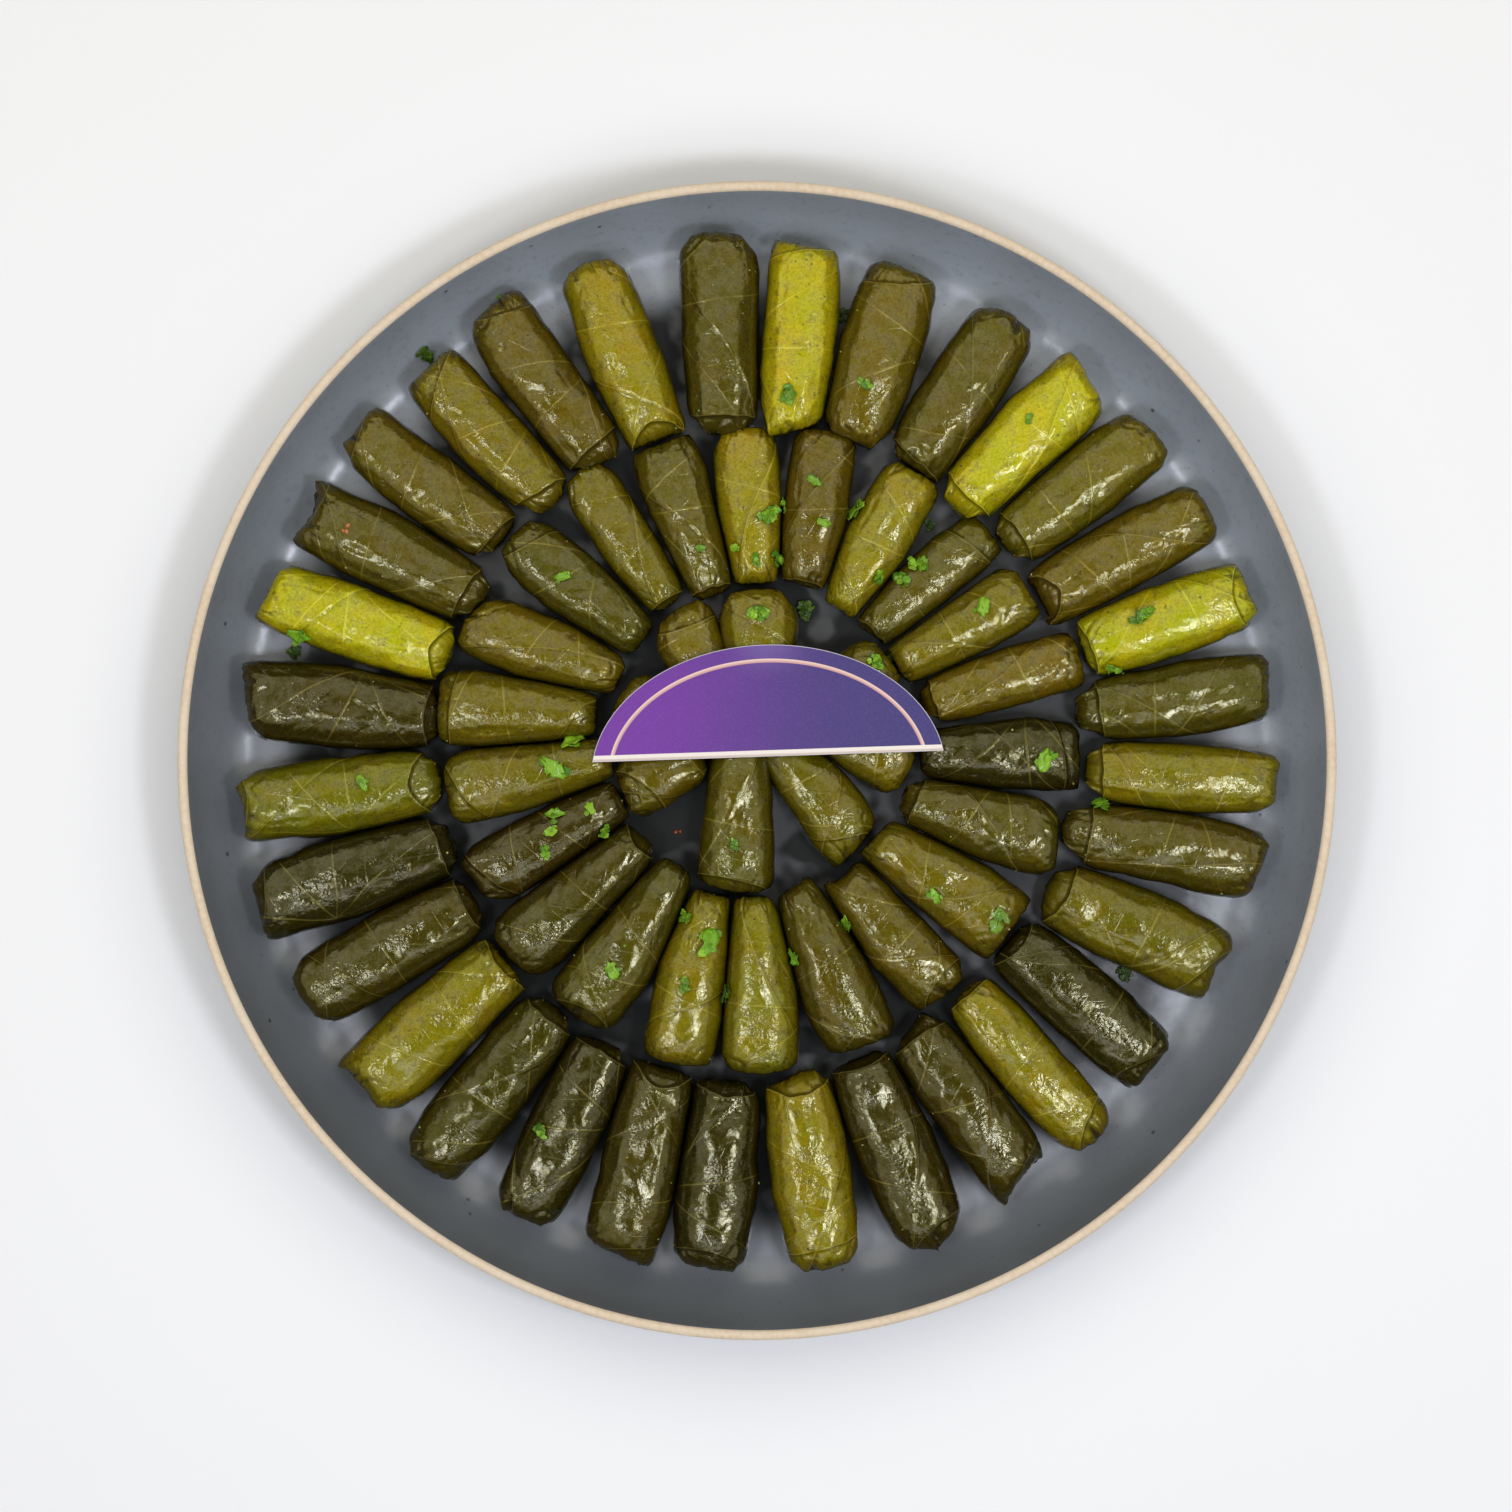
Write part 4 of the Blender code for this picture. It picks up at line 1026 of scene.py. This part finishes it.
def parsley_piece(trees, surface):
    scatter = Scatter()
    for number, row in enumerate((PARSLEY + ";" + DARK_SPRIGS).split(";")):
        x, y, length, kind = read(row)
        draw = random.Random(SEED * 211 + number)
        seat = settle(*ground_below(trees, x, y))
        tone = draw.uniform(0.25, 0.4) if kind == "sprig" else draw.uniform(0.8, 1.1)
        if kind == "leaf":
            points, faces = blade(0.95 * length * MM, length * 0.50 * MM, 0.22 * MM, draw)
            shade = (tone, draw.uniform(0.3, 1), 0)
            scatter.add(points, faces, seat @ moved(0, 0, 0.8) @ turned(draw, draw.uniform(-5, 5)), shade)
            count, spread, size = 6, 0.46, 0.36
        else:
            count, spread, size = 11, 0.48, 0.46
        heading = draw.uniform(0, math.pi)
        for _ in range(count):
            angle = draw.uniform(0, 2 * math.pi)
            reach = draw.uniform(0.1, spread) * length
            part = draw.uniform(0.7, 1.15) * size * length
            tilt = draw.uniform(-12, 38)
            points, faces = blade(part * MM, part * draw.uniform(0.55, 0.85) * MM, 0.2 * MM, draw)
            right, forward = math.cos(angle) * reach, math.sin(angle) * reach * 0.6
            up = 0.4 + 0.45 * part * math.sin(math.radians(abs(tilt))) + draw.uniform(0, 0.5)
            move = moved(right * math.cos(heading) - forward * math.sin(heading),
                         right * math.sin(heading) + forward * math.cos(heading), up)
            shade = (tone * draw.uniform(0.55, 1.2), draw.uniform(0, 1), 0)
            scatter.add(points, faces, seat @ move @ turned(draw, tilt), shade)
    return scatter.piece("chopped_parsley", surface)


def crumbs_piece(trees, surface):
    """Named crumbs on the rolls, and fine flecks of herb over them all."""
    scatter = Scatter()
    draw = random.Random(SEED * 307)
    for x, y, size, shade in CRUMBS:
        found = ground_below(trees, x, y)
        for _ in range(3 if size > 1.5 else 1):
            points, faces = grain(size * draw.uniform(0.5, 0.8) * MM, draw)
            move = moved(draw.uniform(-0.4, 0.4) * size, draw.uniform(-0.4, 0.4) * size, 0)
            scatter.add(points, faces, settle(*found, lift=0.1 * MM) @ move @ turned(draw, 20), shade)
    middle, half, low, high = FLECK_FREE
    for _ in range(FLECKS):
        angle, radius = draw.uniform(0, 2 * math.pi), math.sqrt(draw.uniform(0.06, 1)) * FLECK_RADIUS
        x, y = math.cos(angle) * radius, math.sin(angle) * radius
        point, normal = ground_below(trees, x, y)
        if point.z < FLECK_LOWEST or (abs(x - middle) < half and low < y < high):
            continue
        points, faces = grain(draw.uniform(0.4, 0.9) * MM, draw)
        scatter.add(points, faces, settle(point, normal), draw.choice(FLECK_COLOURS))
    return scatter.piece("crumbs_and_flecks", surface)


def parsley_material():
    g = Graph("parsley")
    tone, hue, _ = g.split(g.attribute("shade"))
    g.colour = g.mix(hue, (0.11, 0.30, 0.008), (0.27, 0.47, 0.016))
    veins = g.noise(1500.0, 2.0, 0.6)
    g.over(g.ramp(veins, 0.5, 0.75, 0.0, 0.45), (0.02, 0.09, 0.006))
    g.colour = g.mix(1.0, g.colour, g.join(tone, tone, tone), "MULTIPLY")
    return g.surface(roughness=0.42, normal=g.bump(veins, 0.00012), coat=0.3, coat_roughness=0.15,
                     specular=0.25)


def crumb_material():
    g = Graph("crumbs")
    mottle = g.noise(1800.0)
    g.colour = g.attribute("shade")
    g.over(g.ramp(mottle, 0.4, 0.7, 0.0, 0.5), (0.06, 0.035, 0.012))
    return g.surface(roughness=0.4, normal=g.bump(mottle, 0.0001), coat=0.6, coat_roughness=0.15)


# Camera, light and floor

def area_light(name, place, aim, size, radiance, colour):
    data = bpy.data.lights.new(name, "AREA")
    data.shape = "RECTANGLE"
    data.size, data.size_y = size
    data.energy = radiance * math.pi * size[0] * size[1]
    data.color = colour
    light = linked(name, data)
    light.location = place
    light.rotation_euler = (Vector(aim) - Vector(place)).to_track_quat("-Z", "Y").to_euler()
    light.visible_camera = False


def studio():
    scene = bpy.context.scene
    data = bpy.data.cameras.new("camera")
    data.lens = CAMERA_LENS
    data.sensor_width = CAMERA_SENSOR
    data.clip_start = 0.01
    scene.camera = linked("camera", data)
    scene.camera.location = CAMERA_PLACE

    world = bpy.data.worlds.new("fill")
    world.use_nodes = True
    background = world.node_tree.nodes["Background"]
    background.inputs["Color"].default_value = (1.0, 1.0, 1.0, 1)
    background.inputs["Strength"].default_value = FILL_STRENGTH
    scene.world = world
    for name, values in LIGHTS.items():
        area_light(name, *values)

    g = Graph("floor")
    g.colour = g.mix(g.noise(3.0), (0.91, 0.91, 0.91), (0.94, 0.94, 0.94))
    corners = [(x * GROUND_HALF, y * GROUND_HALF, -GROUND_DROP) for x, y in ((-1, -1), (1, -1), (1, 1), (-1, 1))]
    floor = mesh_piece("floor", np.array(corners), [(0, 1, 2, 3)], g.surface(roughness=0.9, specular=0.1))
    scene.view_settings.view_transform = "Standard"
    scene.view_settings.look = "None"


studio()
leaf = leaf_material()
outer, middle, centre = all_rolls()
roll_pieces = []
for group in (outer, middle, centre):
    closed = group is not centre
    for place, roll in enumerate(group):
        before = group[place - 1] if closed else None
        after = group[(place + 1) % len(group)] if closed else None
        piece = roll_piece(roll, before, after, leaf)
        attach(piece, "root")
        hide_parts(roll.node)
        roll_pieces.append(piece)

plate = plate_piece(glaze_material(), clay_material())
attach(plate, "root")
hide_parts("plate")

card = card_piece(card_material())
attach(card, "root")
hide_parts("card")

depsgraph = bpy.context.evaluated_depsgraph_get()
trees = [BVHTree.FromObject(piece, depsgraph) for piece in (*roll_pieces, plate)]
parsley = parsley_piece(trees, parsley_material())
crumbs = crumbs_piece(trees, crumb_material())
for piece in (parsley, crumbs):
    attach(piece, "root")
